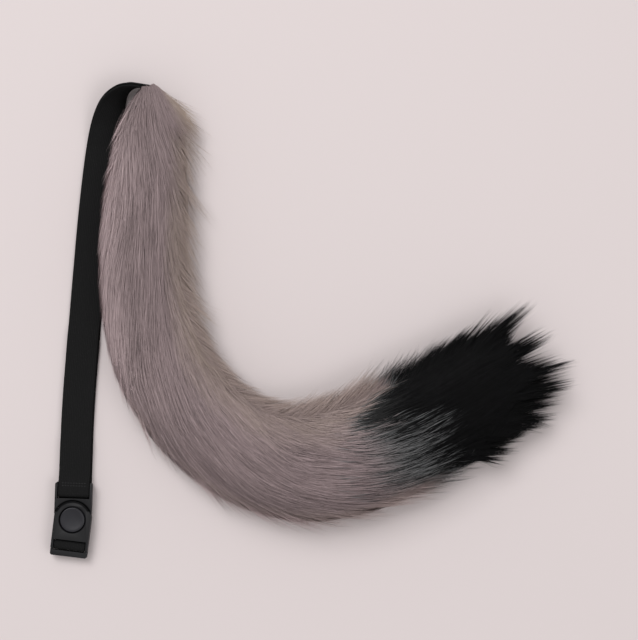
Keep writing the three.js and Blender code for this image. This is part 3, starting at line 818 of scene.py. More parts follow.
def pile_colours(rng, along, angle, across, length, lock_tint, path_along, path_angle):
    """The combed hairs' tint, with painted light and shade in it, their blackness stop by stop, and
    their shares of khaki and painted rim light.
    """
    count = len(along)
    far = along * TAIL_LENGTH
    side = np.cos(np.radians(angle))
    upper = np.sin(np.radians(angle)) > 0
    heading = np.interp(along, FINE, HEADINGS)
    streak = across - TINT_LAG * length * heading
    tint_and_painted_light = 0.4 * rng.normal(0, 1, count) + long_noise(rng, TINT_STREAKS, far, streak)
    tint_and_painted_light *= column(STREAK_STRENGTH, 1, along)
    tint_and_painted_light += long_noise(rng, TINT_PATCHES, far, across) + 0.1 * lock_tint
    # Painted shade lies in clumps and in a band just inside the outer edge of the bend, its shaded side.
    place = np.clip(1.3 - np.abs(side - column(SHADE_SIDE, 1, along)) / SHADE_HALF_WIDTH, 0, 1)
    shade_clumps = np.clip(0.45 + long_noise(rng, BEND_SHADE_NOISE, far, across), 0, 1.2)
    tint_and_painted_light -= CLUMP_SHADE * (place * grown(along, 0.3, 8) * upper) * shade_clumps
    tint_and_painted_light -= BEND_SHADE * place * upper * grown(along, 0.42, 8)
    # Painted rim light: the outside of the curl along the neck is painted lighter.
    painted_rim = grown(-side, 0.4, 2.6) * column(RIM_LIGHT, 1, along)
    painted_rim = painted_rim * rng.uniform(0.3, 1, count)
    # Under the widest place the black begins where it does further out.
    belly = np.where(np.sin(np.radians(path_angle)) < -0.2, 1.15, 1.0)
    black_streak = across - BLACK_LAG * length * heading
    jitter = rng.normal(0, 0.35, count) + long_noise(rng, BLACK_STREAKS, far, black_streak)
    jitter = np.clip(jitter, -1.4, 1.6)[:, None]
    black = blackness(path_along, np.cos(np.radians(path_angle)) * belly, jitter)
    khaki = grown(side, 0.4, 2.3) * rng.uniform(0.3, 1, count)
    # Painted light: the thin hairs inside the curl are painted lighter.
    tint_and_painted_light += column(KHAKI_PAINTED_LIGHT, 1, along) * khaki
    khaki *= column(KHAKI_SHARE, 1, along)
    # Painted light makes the bend's thin outer edge lighter and more khaki again, against its shade.
    outer = np.clip((-side - np.where(upper, 0.72, 0.3)) * 5, 0, 1)
    outer *= grown(along, 0.41, 12) * rng.uniform(0.5, 1, count)
    tint_and_painted_light += OUTER_PAINTED_LIGHT * outer
    khaki = np.maximum(khaki, OUTER_KHAKI * outer)
    return tint_and_painted_light, black, khaki, painted_rim


def curved(root, middle, tip):
    """Places along curves from roots by way of middles to tips."""
    t = STOPS[None, :, None]
    return root[:, None] * (1 - t) ** 2 + middle[:, None] * 2 * t * (1 - t) + tip[:, None] * t**2


def beside_tail(along, side, level):
    """Places at shares along the tail, distances to the inside of the curl, and levels."""
    point, _, left = TAIL_ROUTE.at(along * TAIL_LENGTH)
    return np.concatenate([point + left * np.asarray(side)[..., None] + SHIFT, level[..., None]], -1)


# How many hairs and strands a tuft of usual thickness has, then in millimetres how far its strands
# spread aside and up at their ends, how much higher the short ones end, how far its hairs bow
# outwards, and how far the tidy and the loose ones lie off their strand.
TUFT_HAIRS = 2150
TUFT_STRANDS = 46
TUFT_ASIDE = 5.2
TUFT_LEVELS = 4.5
TUFT_SHORT_RISE = 14
TUFT_BOW = 3.5
TIDY_HAIR = 0.36
LOOSE_HAIR = 1.9


def tuft_hairs(rng, sizes):
    """Hairs that run together in thin strands, which fan out of the brush in its pointed tufts."""
    hairs = Hairs()
    for from_along, from_side, to_along, to_side, level, thick in TIP_TUFTS:
        strands = int(TUFT_STRANDS * thick)
        count = int(TUFT_HAIRS * thick)
        aside = rng.normal(0, 1, strands)
        reach = 1.09 - 0.1 * np.abs(aside) - rng.uniform(0, 0.36, strands)
        end_along = from_along + (to_along - from_along) * reach
        end_side = (from_side + (to_side - from_side) * reach) * TAIL_WIDTH / 2 + aside * TUFT_ASIDE * thick
        end_level = level * TAIL_HEIGHT + rng.normal(0, TUFT_LEVELS, strands)
        end_level = end_level + (1.05 - reach) * TUFT_SHORT_RISE
        ends = beside_tail(end_along, end_side, end_level)
        mine = rng.integers(0, strands, count)
        along = from_along + rng.normal(0, 0.025, count)
        side = from_side + rng.normal(0, 0.1 * thick, count) + aside[mine] * 0.08 * thick
        angle = np.degrees(np.arccos(np.clip(side, -0.99, 0.99)))
        angle = np.where(rng.uniform(0, 1, count) < 0.35, -angle, angle)
        root, out = on_tail(along, angle, 0.0)
        total = np.zeros((strands, 3))
        np.add.at(total, mine, root + out * 4)
        starts = total / np.maximum(np.bincount(mine, minlength=strands), 1)[:, None]
        share = (STOPS[None] * rng.beta(3.0, 1.2, count)[:, None])[..., None]
        line = starts[mine][:, None] * (1 - share) + ends[mine][:, None] * share
        loose = np.where(rng.uniform(0, 1, count) < 0.3, LOOSE_HAIR, TIDY_HAIR)[:, None, None]
        line = line + rng.normal(0, 1, (count, 1, 3)) * loose * (0.3 + 0.7 * share)
        joined = np.clip(STOPS / 0.6, 0, 1) ** 1.2
        joined = (joined * joined * (3 - 2 * joined))[None, :, None]
        own = root[:, None] * (1 - share) + ends[mine][:, None] * share
        own += out[:, None] * TUFT_BOW * share * (1 - share) * 4
        places = above_table(own * (1 - joined) + line * joined, 0.6)
        outward = np.repeat(out[:, None], len(STOPS), 1)
        width = sizes.hair_width / MM * rng.uniform(0.42, 0.8, count)
        black = np.ones((count, len(STOPS)))
        tint_and_painted_light = rng.normal(0, 0.5, count)
        none = np.zeros(count)
        hairs.add(places, outward, width, rng.normal(0, 0.5, count), tint_and_painted_light, black, none, none)
    return hairs


# How far the longest wisps stand off the close pile, in millimetres.
WISP_REACH = (
    # along, inside the curl, outside
    (0.0, 14, -3),
    (0.05, 24, -3),
    (0.11, 29, -2),
    (0.16, 15, -2),
    (0.21, 24, -2),
    (0.26, 13, -2),
    (0.33, 21, 0),
    (0.38, 10, 6),
    (0.46, 7, 10),
    (0.53, 6, 10),
    (0.6, 9, 12),
    (0.66, 15, 16),
    (0.73, 15, 18),
    (0.78, 19, 17),
    (0.82, 16, 15),
    (0.84, 10, 9),
    (0.87, 12, 13),
    (0.92, 9, 8),
    (0.95, 8, 14),
)

# Wisps along the tail's edges, strand by strand: where they start and end along it, the edge (1
# inside the curl, -1 outside), the step between strands, a strand's length and its hairs, then the
# level of its tip as a share of the tail's height, and its khaki, its light (painted light: how much
# lighter its hairs are painted, and at the outer edge its painted rim light) and its hairs' width.
# The lengths are in millimetres.
FRINGES = (
    # first, last, edge, step, length, hairs, level, khaki, light, width
    (0.0, 0.07, 1, 0.8, 34, 12, 0.16, 1.0, 1.2, 0.5),
    (0.06, 0.32, 1, 0.8, 44, 14, 0.2, 1.0, 1.2, 0.5),
    (0.3, 0.5, 1, 0.8, 50, 14, 0.32, 0.8, 1.1, 0.5),
    (0.48, 0.6, 1, 0.8, 58, 14, 0.36, 0.8, 1.0, 0.5),
    (0.02, 0.36, -1, 1.6, 38, 8, 0.4, 0.0, 1.2, 0.6),
    (0.32, 0.58, -1, 0.7, 46, 18, 0.24, 0.6, 1.3, 0.55),
    (0.56, 0.72, -1, 0.8, 46, 16, 0.2, 0.9, 0.8, 0.55),
)
BRUSH_FRINGES = (
    (0.58, 0.7, 1, 0.8, 66, 17, 0.36, 0.8, 0.9, 0.5),
    (0.68, 0.74, 1, 0.9, 46, 16, 0.34, 0.5, 0.4, 0.55),
    (0.73, 0.82, 1, 0.8, 36, 22, 0.34, 0.1, 0.0, 0.65),
    (0.8, 0.9, 1, 1.0, 32, 22, 0.36, 0.0, 0.0, 0.65),
    (0.7, 0.78, -1, 0.8, 46, 20, 0.18, 0.5, 0.2, 0.6),
    (0.77, 0.9, -1, 0.8, 44, 24, 0.26, 0.0, 0.0, 0.65),
)

# How far apart feathers stand in millimetres, and between which angles the wisps' roots lie.
FEATHER_PITCH = 18.0
WISP_ANGLES = (-14, 50)

# How much of those angles is used along the tail, in pairs of a share of the length and a share.
WISP_SPREAD = ((0.28, 1.0), (0.36, 0.65), (0.72, 0.55), (0.78, 1.0))


def fringe_hairs(rng, sizes, fringes):
    """Wisps that stand off the tail's edges, each a strand of thin hairs that run out to a point.
    Neighbouring strands are longer and shorter by turns, which makes feathers of them."""
    hairs = Hairs()
    for first, last, edge, step, length, number, level, khaki, light, thin in fringes:
        strands = int((last - first) * TAIL_LENGTH / step)
        start = np.linspace(first, last, strands) + rng.normal(0, 0.002, strands)
        wave = wave_noise(rng, start * TAIL_LENGTH, 0.0, FEATHER_PITCH)
        strong = np.clip(0.75 + 0.3 * wave, 0.3, 1.2) * rng.uniform(0.25, 1.1, strands)
        end_along = start + length * rng.uniform(0.8, 1.1, strands) / TAIL_LENGTH
        place = 1 if edge > 0 else 2
        reach = column(WISP_REACH, place, end_along)
        inset = column(PILE_INSET, place, end_along) - 2
        edge_side = np.interp(end_along, FINE, FAN["width"]) * TAIL_WIDTH / 2 - inset
        end_level = level * TAIL_HEIGHT + rng.normal(0, 3.0, strands)
        ends = beside_tail(end_along, edge * (edge_side + reach * strong), end_level)
        count = strands * number
        mine = np.repeat(np.arange(strands), number)
        along = np.maximum(start[mine] + rng.normal(0, 3.5, count) / TAIL_LENGTH, 0.004)
        angle = rng.uniform(*WISP_ANGLES, count) * column(WISP_SPREAD, 1, along)
        angle = angle if edge > 0 else 180 - angle
        root, out = on_tail(along, angle, 0.0)
        share = rng.beta(2.4, 1.4, count)[:, None]
        tip = root * (1 - share) + ends[mine] * share + rng.normal(0, 0.7, (count, 3))
        ahead = np.concatenate([TAIL_ROUTE.at(along * TAIL_LENGTH)[1], np.zeros((count, 1))], 1)
        middle = (root + tip) * 0.5 + out * (SKIN_DEPTH * 0.5) + ahead * (share * 4)
        places = above_table(curved(root, middle, tip), 0.5)
        outward = np.repeat(out[:, None], len(STOPS), 1)
        width = sizes.hair_width / MM * thin * rng.uniform(0.6, 1.1, count)
        # Painted light: the wisps are painted lighter, and those outside the curl get painted rim light.
        tint_and_painted_light = light + 0.35 * rng.normal(0, 1, count)
        path_along = along[:, None] + (end_along[mine] - along)[:, None] * share * STOPS[None]
        black = blackness(path_along, edge * 0.94, rng.normal(0, 0.5, count)[:, None])
        own = khaki * rng.uniform(0.5, 1, count)
        painted_rim = np.clip(light * (edge < 0) * rng.uniform(0.4, 1, count), 0, 1)
        hairs.add(places, outward, width, rng.normal(0, 0.5, count), tint_and_painted_light, black, own, painted_rim)
    return hairs


# The hairs over the root, in millimetres: how wide their row is and how far beside the root's middle
# it starts, how far behind the strap they stand, their lengths, how many degrees the fan opens and
# how much further it splays towards the inside of the curl.
ROOT_ROW = 16
ROOT_ROW_START = 2
ROOT_BACK = (1.6, 8)
ROOT_LENGTHS = (18, 46)
ROOT_FAN = 42
ROOT_SPLAY = 30


def root_hairs(rng, sizes, count):
    """Hairs from the sewn root that fall over the strap's end and fan out down the neck."""
    hairs = Hairs()
    forward = np.append(TAIL_ROUTE.at(0.0)[1], 0.0)
    beside = np.append(STRAP_ROUTE.at(0.0)[1], 0.0)
    top = STRAP_LIE[0][3] * STRAP_WIDTH + STRAP_WIDTH
    # Roots stand side by side along the strap's upper edge and down its inner face.
    place = rng.uniform(0, 1, count)
    drop = rng.beta(1.0, 2.2, count)
    back = rng.uniform(*ROOT_BACK, count) + 12 * (place - 0.36) ** 2 - 3.5 * np.clip(place * 4 - 1.5, 0, 1)
    aside = place * ROOT_ROW - ROOT_ROW_START
    root = np.append(SHIFT, top) - beside * aside[:, None] + forward * back[:, None]
    drop = np.where(back < 3.5, 0, drop)
    root[:, 2] += rng.uniform(0.2, 1.6, count) - drop * top * 0.8
    splay = ROOT_SPLAY * np.clip(place * 2.5 - 1.3, 0, 1) * rng.uniform(0, 1, count)
    lean = np.radians((place - 0.4) * ROOT_FAN + splay + rng.normal(0, 7, count))[:, None]
    aim = forward * np.cos(lean) - beside * np.sin(lean)
    long = rng.uniform(*ROOT_LENGTHS, count) * (1 - splay / 110)
    tip = root + aim * long[:, None]
    # Those that lean aside fall lower.
    fall = np.clip((lean[:, 0] - 0.2) * 1.3, 0, 0.55)
    climb = 0.12 + 0.07 * rng.normal(0, 1, count) - fall
    tip[:, 2] = root[:, 2] + long * climb * (1 - drop)
    middle = (root + tip) / 2 + np.array([0, 0, 2.0])
    outward = np.tile([0.0, 0.0, 1.0], (count, len(STOPS), 1))
    width = sizes.hair_width / MM * rng.uniform(0.5, 1.0, count)
    tint_and_painted_light = 0.2 + 0.4 * rng.normal(0, 1, count)
    khaki = grown(lean[:, 0], 0.3, 2)
    places = curved(root, middle, tip)
    grey = np.zeros((count, len(STOPS)))
    hairs.add(places, outward, width, rng.normal(0, 0.4, count), tint_and_painted_light, grey, khaki, np.zeros(count))
    return hairs


def fur_finish(sizes, name, shine, bloom):
    """The pile's colour from its roots to its tips, with its own tint on every hair. The tint also
    carries painted light and shade, and the shares carry painted rim light and painted sheen.
    """
    fur = Finish(name)
    kinds = ("along", "tint_and_painted_light", "khaki", "painted_rim", "black")
    along, tint_and_painted_light, khaki, painted_rim, black = (fur.attribute("hair_" + kind) for kind in kinds)
    grey = fur.mix((along * 0.5 + 0.25 + tint_and_painted_light * 0.3).clamped(), sizes.grey_dark, sizes.grey_light)
    grey = fur.mix((khaki * (along * 0.8 + 0.2)).clamped(), grey, sizes.khaki)
    # Painted rim light at the outside of the curl.
    grey = fur.mix((painted_rim * (along * 0.6 + 0.4)).clamped(), grey, sizes.painted_rim)
    # Painted sheen: cool grey where the black begins.
    cool = fur.mix((black * 2.2).clamped(), grey, sizes.painted_sheen)
    dark = fur.mix((tint_and_painted_light * 0.3 + 0.2).clamped(), sizes.black, shade(2.2, sizes.black))
    fur.set(
        Base_Color=fur.mix((black * 1.8 - 0.8).clamped(), cool, dark),
        Roughness=(0.66 - 0.12 * black).clamped(),
        Specular_IOR_Level=shine,
        Sheen_Weight=bloom,
        Sheen_Roughness=0.5,
    )
    return fur.material


def skin_finish(sizes):
    """The knitted backing that shows between the hairs' roots."""
    skin = Finish("backing")
    black = skin.attribute("hair_black")
    fine = skin.noise(skin.place(), 900.0, 3.0)
    under = skin.mix(fine, shade(0.6, sizes.grey_dark), sizes.grey_dark)
    skin.set(
        Base_Color=skin.mix(black, under, sizes.black),
        Roughness=0.9,
        Specular_IOR_Level=0.1,
        Normal=skin.bump(0.4, 0.0006, fine),
    )
    return skin.material


def link_mesh(name, form, smooth=True):
    for face in form.faces:
        face.smooth = smooth
    mesh = bpy.data.meshes.new(name)
    form.to_mesh(mesh)
    form.free()
    piece = bpy.data.objects.new(name, mesh)
    bpy.context.collection.objects.link(piece)
    return piece


def closed_tube(name, form):
    """A piece from a grid whose long edges meet, with its two ends filled."""
    bmesh.ops.remove_doubles(form, verts=form.verts, dist=1e-6)
    bmesh.ops.holes_fill(form, edges=[e for e in form.edges if e.is_boundary], sides=0)
    bmesh.ops.recalc_face_normals(form, faces=form.faces)
    return link_mesh(name, form)


# How far the cores lie under the skin in millimetres, their points round a ring, and the shares of
# the length between which each of them lies.
CORE_SINK = 0.6
CORE_POINTS = 48
TAIL_CORE = (0.004, 0.74)
BRUSH_CORE = (0.742, 0.88)


def stuffed_core(name, first, last, rings):
    """The stuffed body under the pile, bent from a flat grid into a closed tube."""
    form = bmesh.new()
    bmesh.ops.create_grid(form, x_segments=rings, y_segments=CORE_POINTS, size=0.5)
    black = form.verts.layers.float.new("hair_black")
    for vert in form.verts:
        along = first + (last - first) * (vert.co.x + 0.5)
        angle = 360 * (vert.co.y + 0.5)
        place, _ = on_tail(along, angle, -CORE_SINK)
        vert[black] = float(blackness(along, math.cos(math.radians(angle)), 0.0))
        vert.co = Vector(above_table(place, 0.6)) * MM
    return closed_tube(name, form)


class TAIL_OT_core(bpy.types.Operator):
    """Make the stuffed cores that the pile stands on"""

    bl_idname = "tail.core"
    bl_label = "Stuffed core"

    def execute(self, context):
        sizes = context.scene.tail_sizes
        finish = skin_finish(sizes)
        grey = stuffed_core("tail_core", *TAIL_CORE, rings=150)
        dark = stuffed_core("brush_core", *BRUSH_CORE, rings=40)
        for piece, node, slot in ((grey, "tail_fur", "grey_fur"), (dark, "brush_fur", "black_fur")):
            piece.data.materials.append(finish)
            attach(piece, BODY)
            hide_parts(node)
        return {"FINISHED"}


# How strongly the fur shines and how much bloom it has.
GREY_SHINE = (0.22, 0.1)
BRUSH_SHINE = (0.06, 0.01)

# The pile's stretches: first and last share of the length.
PILE_STRETCHES = (
    ("neck_pile", 0.0, 0.27),
    ("middle_pile", 0.27, 0.5),
    ("bend_pile", 0.5, 0.7),
    ("brush_pile", 0.7, 0.91),
)

# The combed pile, in millimetres: the angles in degrees that it covers, how far its tips rise, how
# many degrees it sways and over what length, how much its locks gather, how much of the curl it lags
# behind, a lock's length, width and own turn in degrees, how far roots are sunk in the skin and how
# far loose hairs stray at the edges.
PILE_ANGLES = (-42, 222)
PILE_RISE = 6.0
PILE_SWAY = 5.0
SWAY_LENGTH = 55
PILE_GATHER = 0.4
PILE_LAG = 0.92
LOCK_LENGTH = 30
LOCK_WIDTH = 3.0
LOCK_TURN = 2.5
ROOT_SINK = 1.0
LOOSE_REACH = 1.9

# Between which factors the hairs' lengths and widths lie.
LENGTH_SPREAD = (0.6, 1.1)
WIDTH_SPREAD = (0.6, 1.3)

# How many hairs fall over the strap from the root.
ROOT_HAIRS = 2600

# Hairs laid out for each that is kept, since some are left out where the tail is thin.
HAIRS_LAID = 1.15


class TAIL_OT_pile(bpy.types.Operator):
    """Make the long combed pile, stretch by stretch"""

    bl_idname = "tail.pile"
    bl_label = "Pile"

    def execute(self, context):
        sizes = context.scene.tail_sizes
        grey = fur_finish(sizes, "grey_pile", *GREY_SHINE)
        dark = fur_finish(sizes, "brush_pile", *BRUSH_SHINE)
        for number, (name, first, last) in enumerate(PILE_STRETCHES):
            rng = np.random.default_rng(sizes.seed + number)
            count = int(sizes.hairs_per_piece * HAIRS_LAID)
            hairs = combed(rng, sizes, count, first, last)
            if first == 0.0:
                hairs.rows += root_hairs(rng, sizes, ROOT_HAIRS).rows
            set_pile(hairs.piece(name), dark if name == "brush_pile" else grey)
        return {"FINISHED"}


class TAIL_OT_wisps(bpy.types.Operator):
    """Make the brush's tufts and the wisps that stand off the tail's edges"""

    bl_idname = "tail.wisps"
    bl_label = "Tufts and wisps"

    def execute(self, context):
        sizes = context.scene.tail_sizes
        grey = fur_finish(sizes, "grey_wisps", *GREY_SHINE)
        dark = fur_finish(sizes, "brush_wisps", *BRUSH_SHINE)
        rng = np.random.default_rng(sizes.seed + 20)
        set_pile(tuft_hairs(rng, sizes).piece("brush_tufts"), dark)
        set_pile(fringe_hairs(rng, sizes, BRUSH_FRINGES).piece("brush_fringe"), dark)
        set_pile(fringe_hairs(rng, sizes, FRINGES).piece("edge_wisps"), grey)
        return {"FINISHED"}


def set_pile(piece, finish):
    piece.data.materials.append(finish)
    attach(piece, BODY)


# The strap

# The buckle's places that the strap goes round, from the middle of the button, and their levels, in
# millimetres.
LAYER_PITCH = STRAP_THICKNESS + LAYER_GAP
BUCKLE_BASE = 2 * LAYER_PITCH
STRAP_BAR_START = 20.2
STRAP_BAR_END = 26.2
STRAP_BAR_TOP = 4.4
CENTRE_BAR_MIDDLE = 20.9
CENTRE_WRAP_HALF = 2.95
CENTRE_BAR_TOP = 5.4

# Over what length the strap comes down beside a bar or a cut end, in millimetres.
RAMP = 12.0


def strap_place(distance, height, across):
    """Places on the strap: along its lie, above its lowest layer and across it, in millimetres."""
    distance, height, across = np.broadcast_arrays(distance, height, across)
    point, _, left = STRAP_ROUTE.at(distance)
    share = distance / STRAP_REACH
    roll = np.radians(column(STRAP_LIE, 2, share))[..., None]
    lift = column(STRAP_LIE, 3, share)[..., None] * STRAP_WIDTH
    up = np.array([0.0, 0.0, 1.0])
    outward = np.concatenate([-left, np.zeros(left.shape[:-1] + (1,))], -1)
    wide = outward * np.cos(roll) + up * np.sin(roll)
    face = up * np.cos(roll) - outward * np.sin(roll)
    level = lift + STRAP_WIDTH / 2 * np.sin(roll) + STRAP_THICKNESS / 2 * np.cos(roll)
    place = np.concatenate([point + SHIFT, level], -1)
    return place + face * height[..., None] + wide * across[..., None]


def bend_stops(distance, height, radius, first, last, count=10):
    """Stops on an arc between two angles, in the plane of distance and height."""
    angles = np.radians(np.linspace(first, last, count))
    return np.stack([distance + radius * np.cos(angles), height + radius * np.sin(angles)], 1)


def run_stops(first, last, height):
    return np.array([(first, height), (last, height)])


def strap_stops():
    """The strap's way as distances and heights: from its sewn fold on the buckle's bar up to the
    root, round its hairpin there, back along the table, through the latch and to its cut end."""
    sewn_end = -SEWN_LENGTH / 2
    over_bar = BUCKLE_BASE + STRAP_BAR_TOP + LAYER_GAP
    fold = STRAP_REACH - STRAP_BAR_START
    bar_end = STRAP_REACH - STRAP_BAR_END
    folded_cut = bar_end - FOLDED_END_LENGTH
    free_cut = STRAP_REACH - FREE_END_REACH
    fold_radius = (over_bar - BUCKLE_BASE) / 2
    bend = LAYER_PITCH - LAYER_GAP / 2
    wrap_end = STRAP_REACH + CENTRE_BAR_MIDDLE + CENTRE_WRAP_HALF
    wrap_start = wrap_end - 2 * CENTRE_WRAP_HALF
    over_centre = BUCKLE_BASE + CENTRE_BAR_TOP + LAYER_GAP
    return np.concatenate(
        [
            run_stops(folded_cut, fold - 0.1, BUCKLE_BASE),
            bend_stops(fold, (BUCKLE_BASE + over_bar) / 2, fold_radius, -90, 90, 16),
            run_stops(bar_end, bar_end - 0.4, over_bar),
            run_stops(bar_end - RAMP, folded_cut - LAYER_PITCH, 3 * LAYER_PITCH),
            run_stops(folded_cut - RAMP, free_cut - LAYER_PITCH, 2 * LAYER_PITCH),
            run_stops(free_cut - RAMP, sewn_end + 0.1, LAYER_PITCH),
            bend_stops(sewn_end, LAYER_PITCH / 2, LAYER_PITCH / 2, 90, 270),
            run_stops(sewn_end + 0.1, wrap_end - bend - 0.1, 0.0),
            bend_stops(wrap_end - bend, bend, bend, -90, 0),
            bend_stops(wrap_end - bend, over_centre - bend, bend, 0, 90),
            bend_stops(wrap_start + bend, over_centre - bend, bend, 90, 180),
            bend_stops(wrap_start - bend, LAYER_PITCH + bend, bend, 0, -90),
            run_stops(wrap_start - bend - 0.1, free_cut, LAYER_PITCH),
        ]
    )


def even_stops(stops, step):
    """The same way in steps of about one length that keep its corners a little round."""
    lengths = np.linalg.norm(np.diff(stops, axis=0), axis=1)
    places = np.concatenate([[0], np.cumsum(lengths)])
    count = int(places[-1] / step)
    spots = np.linspace(0, places[-1], count + 1)
    even = np.stack([np.interp(spots, places, stops[:, k]) for k in (0, 1)], 1)
    return even, spots


def strap_section():
    """The strap's section as across and thickness, its faces flat and its edges round."""
    edge = STRAP_THICKNESS / 2
    flat = np.linspace(-1, 1, 15) * (STRAP_WIDTH / 2 - edge)
    turn = np.radians([54, 18, -18, -54])
    right = [(flat[-1] + edge * np.cos(a), edge * np.sin(a)) for a in turn]
    left = [(-x, -y) for x, y in right]
    top = [(x, edge) for x in flat]
    below = [(-x, -edge) for x in flat]
    return np.array(top + right + below + left + top[:1])


# The strap's steps in millimetres, and how many bands its bake map is cut into.
WEBBING_STEP = 1.7
BAKE_BANDS = 24

# How far to the side each stretch of the strap's way lies, in millimetres, so that its lower layers
# show beside the top one.
LAYERS_ASIDE = (
    # share of the way, aside
    (0.0, 0.0),
    (0.38, 0.0),
    (0.5, -0.5),
    (0.8, -0.8),
    (0.84, 0.35),
    (0.9, 0.35),
    (0.94, -0.6),
    (1.0, -0.9),
)


def webbing():
    """The elastic strap in one length, a flat grid that is laid along its way and closed round it."""
    stops, spots = even_stops(strap_stops(), WEBBING_STEP)
    section = strap_section()
    run = np.gradient(stops, axis=0)
    run /= np.linalg.norm(run, axis=1, keepdims=True)
    middle = column(LAYERS_ASIDE, 1, spots / spots[-1])
    distance = stops[:, :1] - run[:, 1:] * section[None, :, 1]
    height = stops[:, 1:] + run[:, :1] * section[None, :, 1]
    places = strap_place(distance, height, section[None, :, 0] + middle[:, None])
    places = above_table(places, 0.05) * MM
    around = np.concatenate([[0], np.cumsum(np.linalg.norm(np.diff(section, axis=0), axis=1))])
    form = bmesh.new()
    rows, columns = len(stops) - 1, len(section) - 1
    bmesh.ops.create_grid(form, x_segments=rows, y_segments=columns, size=0.5)
    weave = form.loops.layers.uv.new("weave")
    bake = form.loops.layers.uv.new("OFBake")
    for face in form.faces:
        first = min(round((loop.vert.co.x + 0.5) * rows) for loop in face.loops)
        band = min(int(first * BAKE_BANDS / rows), BAKE_BANDS - 1)
        for loop in face.loops:
            row = round((loop.vert.co.x + 0.5) * rows)
            place = round((loop.vert.co.y + 0.5) * columns)
            loop[weave].uv = (spots[row] * MM, around[place] * MM)
            inside = (row * BAKE_BANDS / rows - band) * 0.94 + 0.03
            loop[bake].uv = (inside, (band + 0.08 + 0.84 * around[place] / around[-1]) / BAKE_BANDS)
    for vert in form.verts:
        row, place = round((vert.co.x + 0.5) * rows), round((vert.co.y + 0.5) * columns)
        vert.co = Vector(places[row, place])
    return closed_tube("webbing", form)


def elastic_finish(sizes):
    """Matt black elastic: raised ribs along it, crossed by fine picks, with a little lint on it. Its
    colour follows the ribs' height, so the grooves are painted darker as shade.
    """
    elastic = Finish("elastic")
    weave = elastic.add("ShaderNodeUVMap", {"uv_map": "weave"}, [])
    split = elastic.add("ShaderNodeSeparateXYZ", {}, [weave])
    along, across = split.part("X"), split.part("Y")
    rib = (across * (2 * math.pi / sizes.rib_pitch)).sine()
    pick = (along * (2 * math.pi / (0.6 * sizes.rib_pitch))).sine()
    stretched = elastic.add("ShaderNodeVectorMath", {"operation": "MULTIPLY"}, [weave, (1, 3, 1)])
    lint = elastic.noise(stretched, 900.0, 4.0)
    dust = elastic.noise(weave, 45.0, 4.0)
    height = 0.5 + 0.3 * rib + 0.2 * pick * rib
    # Painted shade: the colour is darker where the weave is low, and dust varies it too.
    thread = (height * 0.7 + dust * 0.5).clamped()
    base = elastic.mix(thread, shade(0.65, sizes.webbing), shade(1.6, sizes.webbing))
    fluff = ((lint - 0.6) * 9).clamped() * 0.6
    elastic.set(
        Base_Color=elastic.mix(fluff, base, shade(6, sizes.webbing)),
        Roughness=(0.78 + 0.15 * dust).clamped(),
        Specular_IOR_Level=0.12,
        Normal=elastic.bump(0.8, 0.0003, height),
    )
    return elastic.material


def fold_face(distance):
    """The height of the strap's upper face where it comes down from the buckle's bar."""
    bar_end = STRAP_REACH - STRAP_BAR_END
    over_bar = BUCKLE_BASE + STRAP_BAR_TOP + LAYER_GAP
    middle = np.interp(distance, [bar_end - RAMP, bar_end - 0.4], [3 * LAYER_PITCH, over_bar])
    return middle + STRAP_THICKNESS / 2


# Rows of stitches across the strap: distance along it, height of the face they lie on, and how much
# of the width they take.
STITCH_ROWS = (
    (STRAP_REACH - 29.0, fold_face(STRAP_REACH - 29.0), 0.84),
    (STRAP_REACH - 26.9, fold_face(STRAP_REACH - 26.9), 0.84),
    (-SEWN_LENGTH * 0.33, LAYER_PITCH + STRAP_THICKNESS / 2, 0.72),
    (SEWN_LENGTH * 0.33, LAYER_PITCH + STRAP_THICKNESS / 2, 0.72),
)
STITCH_PITCH = 2.2

# Half a stitch's length, width and thickness, in millimetres.
STITCH_SIZE = (0.75, 0.22, 0.16)


def face_order(face):
    corners = [vert.index for vert in face.verts]
    return min(corners) * 1e6 + sum(corners)


def stitches(rows):
    """Short stitches in rows across the strap, each a flattened bead of thread."""
    form = bmesh.new()
    for distance, level, share in rows:
        count = int(STRAP_WIDTH * share / STITCH_PITCH)
        for number in range(count):
            across = (number - (count - 1) / 2) * STITCH_PITCH
            spot = strap_place(distance, level, across)
            ahead = strap_place(distance, level, across + 0.5) - spot
            over = strap_place(distance, level + 0.5, across) - spot
            wide, face = Vector(ahead).normalized(), Vector(over).normalized()
            turn = Matrix((wide, face.cross(wide), face)).transposed().to_4x4()
            shape = Matrix.Diagonal((*STITCH_SIZE, 1.0))
            place = Matrix.Scale(MM, 4) @ (Matrix.Translation(Vector(spot)) @ turn @ shape)
            bmesh.ops.create_uvsphere(form, u_segments=8, v_segments=5, radius=1.0, matrix=place)
    # A sphere's faces come in another order each run, so they are put in one order.
    form.verts.index_update()
    form.faces.sort(key=face_order)
    return link_mesh("stitches", form)


class TAIL_OT_strap(bpy.types.Operator):
    """Make the elastic strap and its stitches"""

    bl_idname = "tail.strap"
    bl_label = "Strap"

    def execute(self, context):
        sizes = context.scene.strap_sizes
        strap = webbing()
        strap.data.materials.append(elastic_finish(sizes))
        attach(strap, BODY)
        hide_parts("waist_strap")
        sewing = stitches(STITCH_ROWS)
        thread = Finish("thread")
        twist = thread.noise(thread.place(), 2500.0, 2.0)
        thread.set(
            Base_Color=thread.mix(twist, shade(0.6, sizes.thread), shade(1.4, sizes.thread)),
            Roughness=0.6,
            Specular_IOR_Level=0.25,
        )
        sewing.data.materials.append(thread.material)
        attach(sewing, BODY)
        return {"FINISHED"}


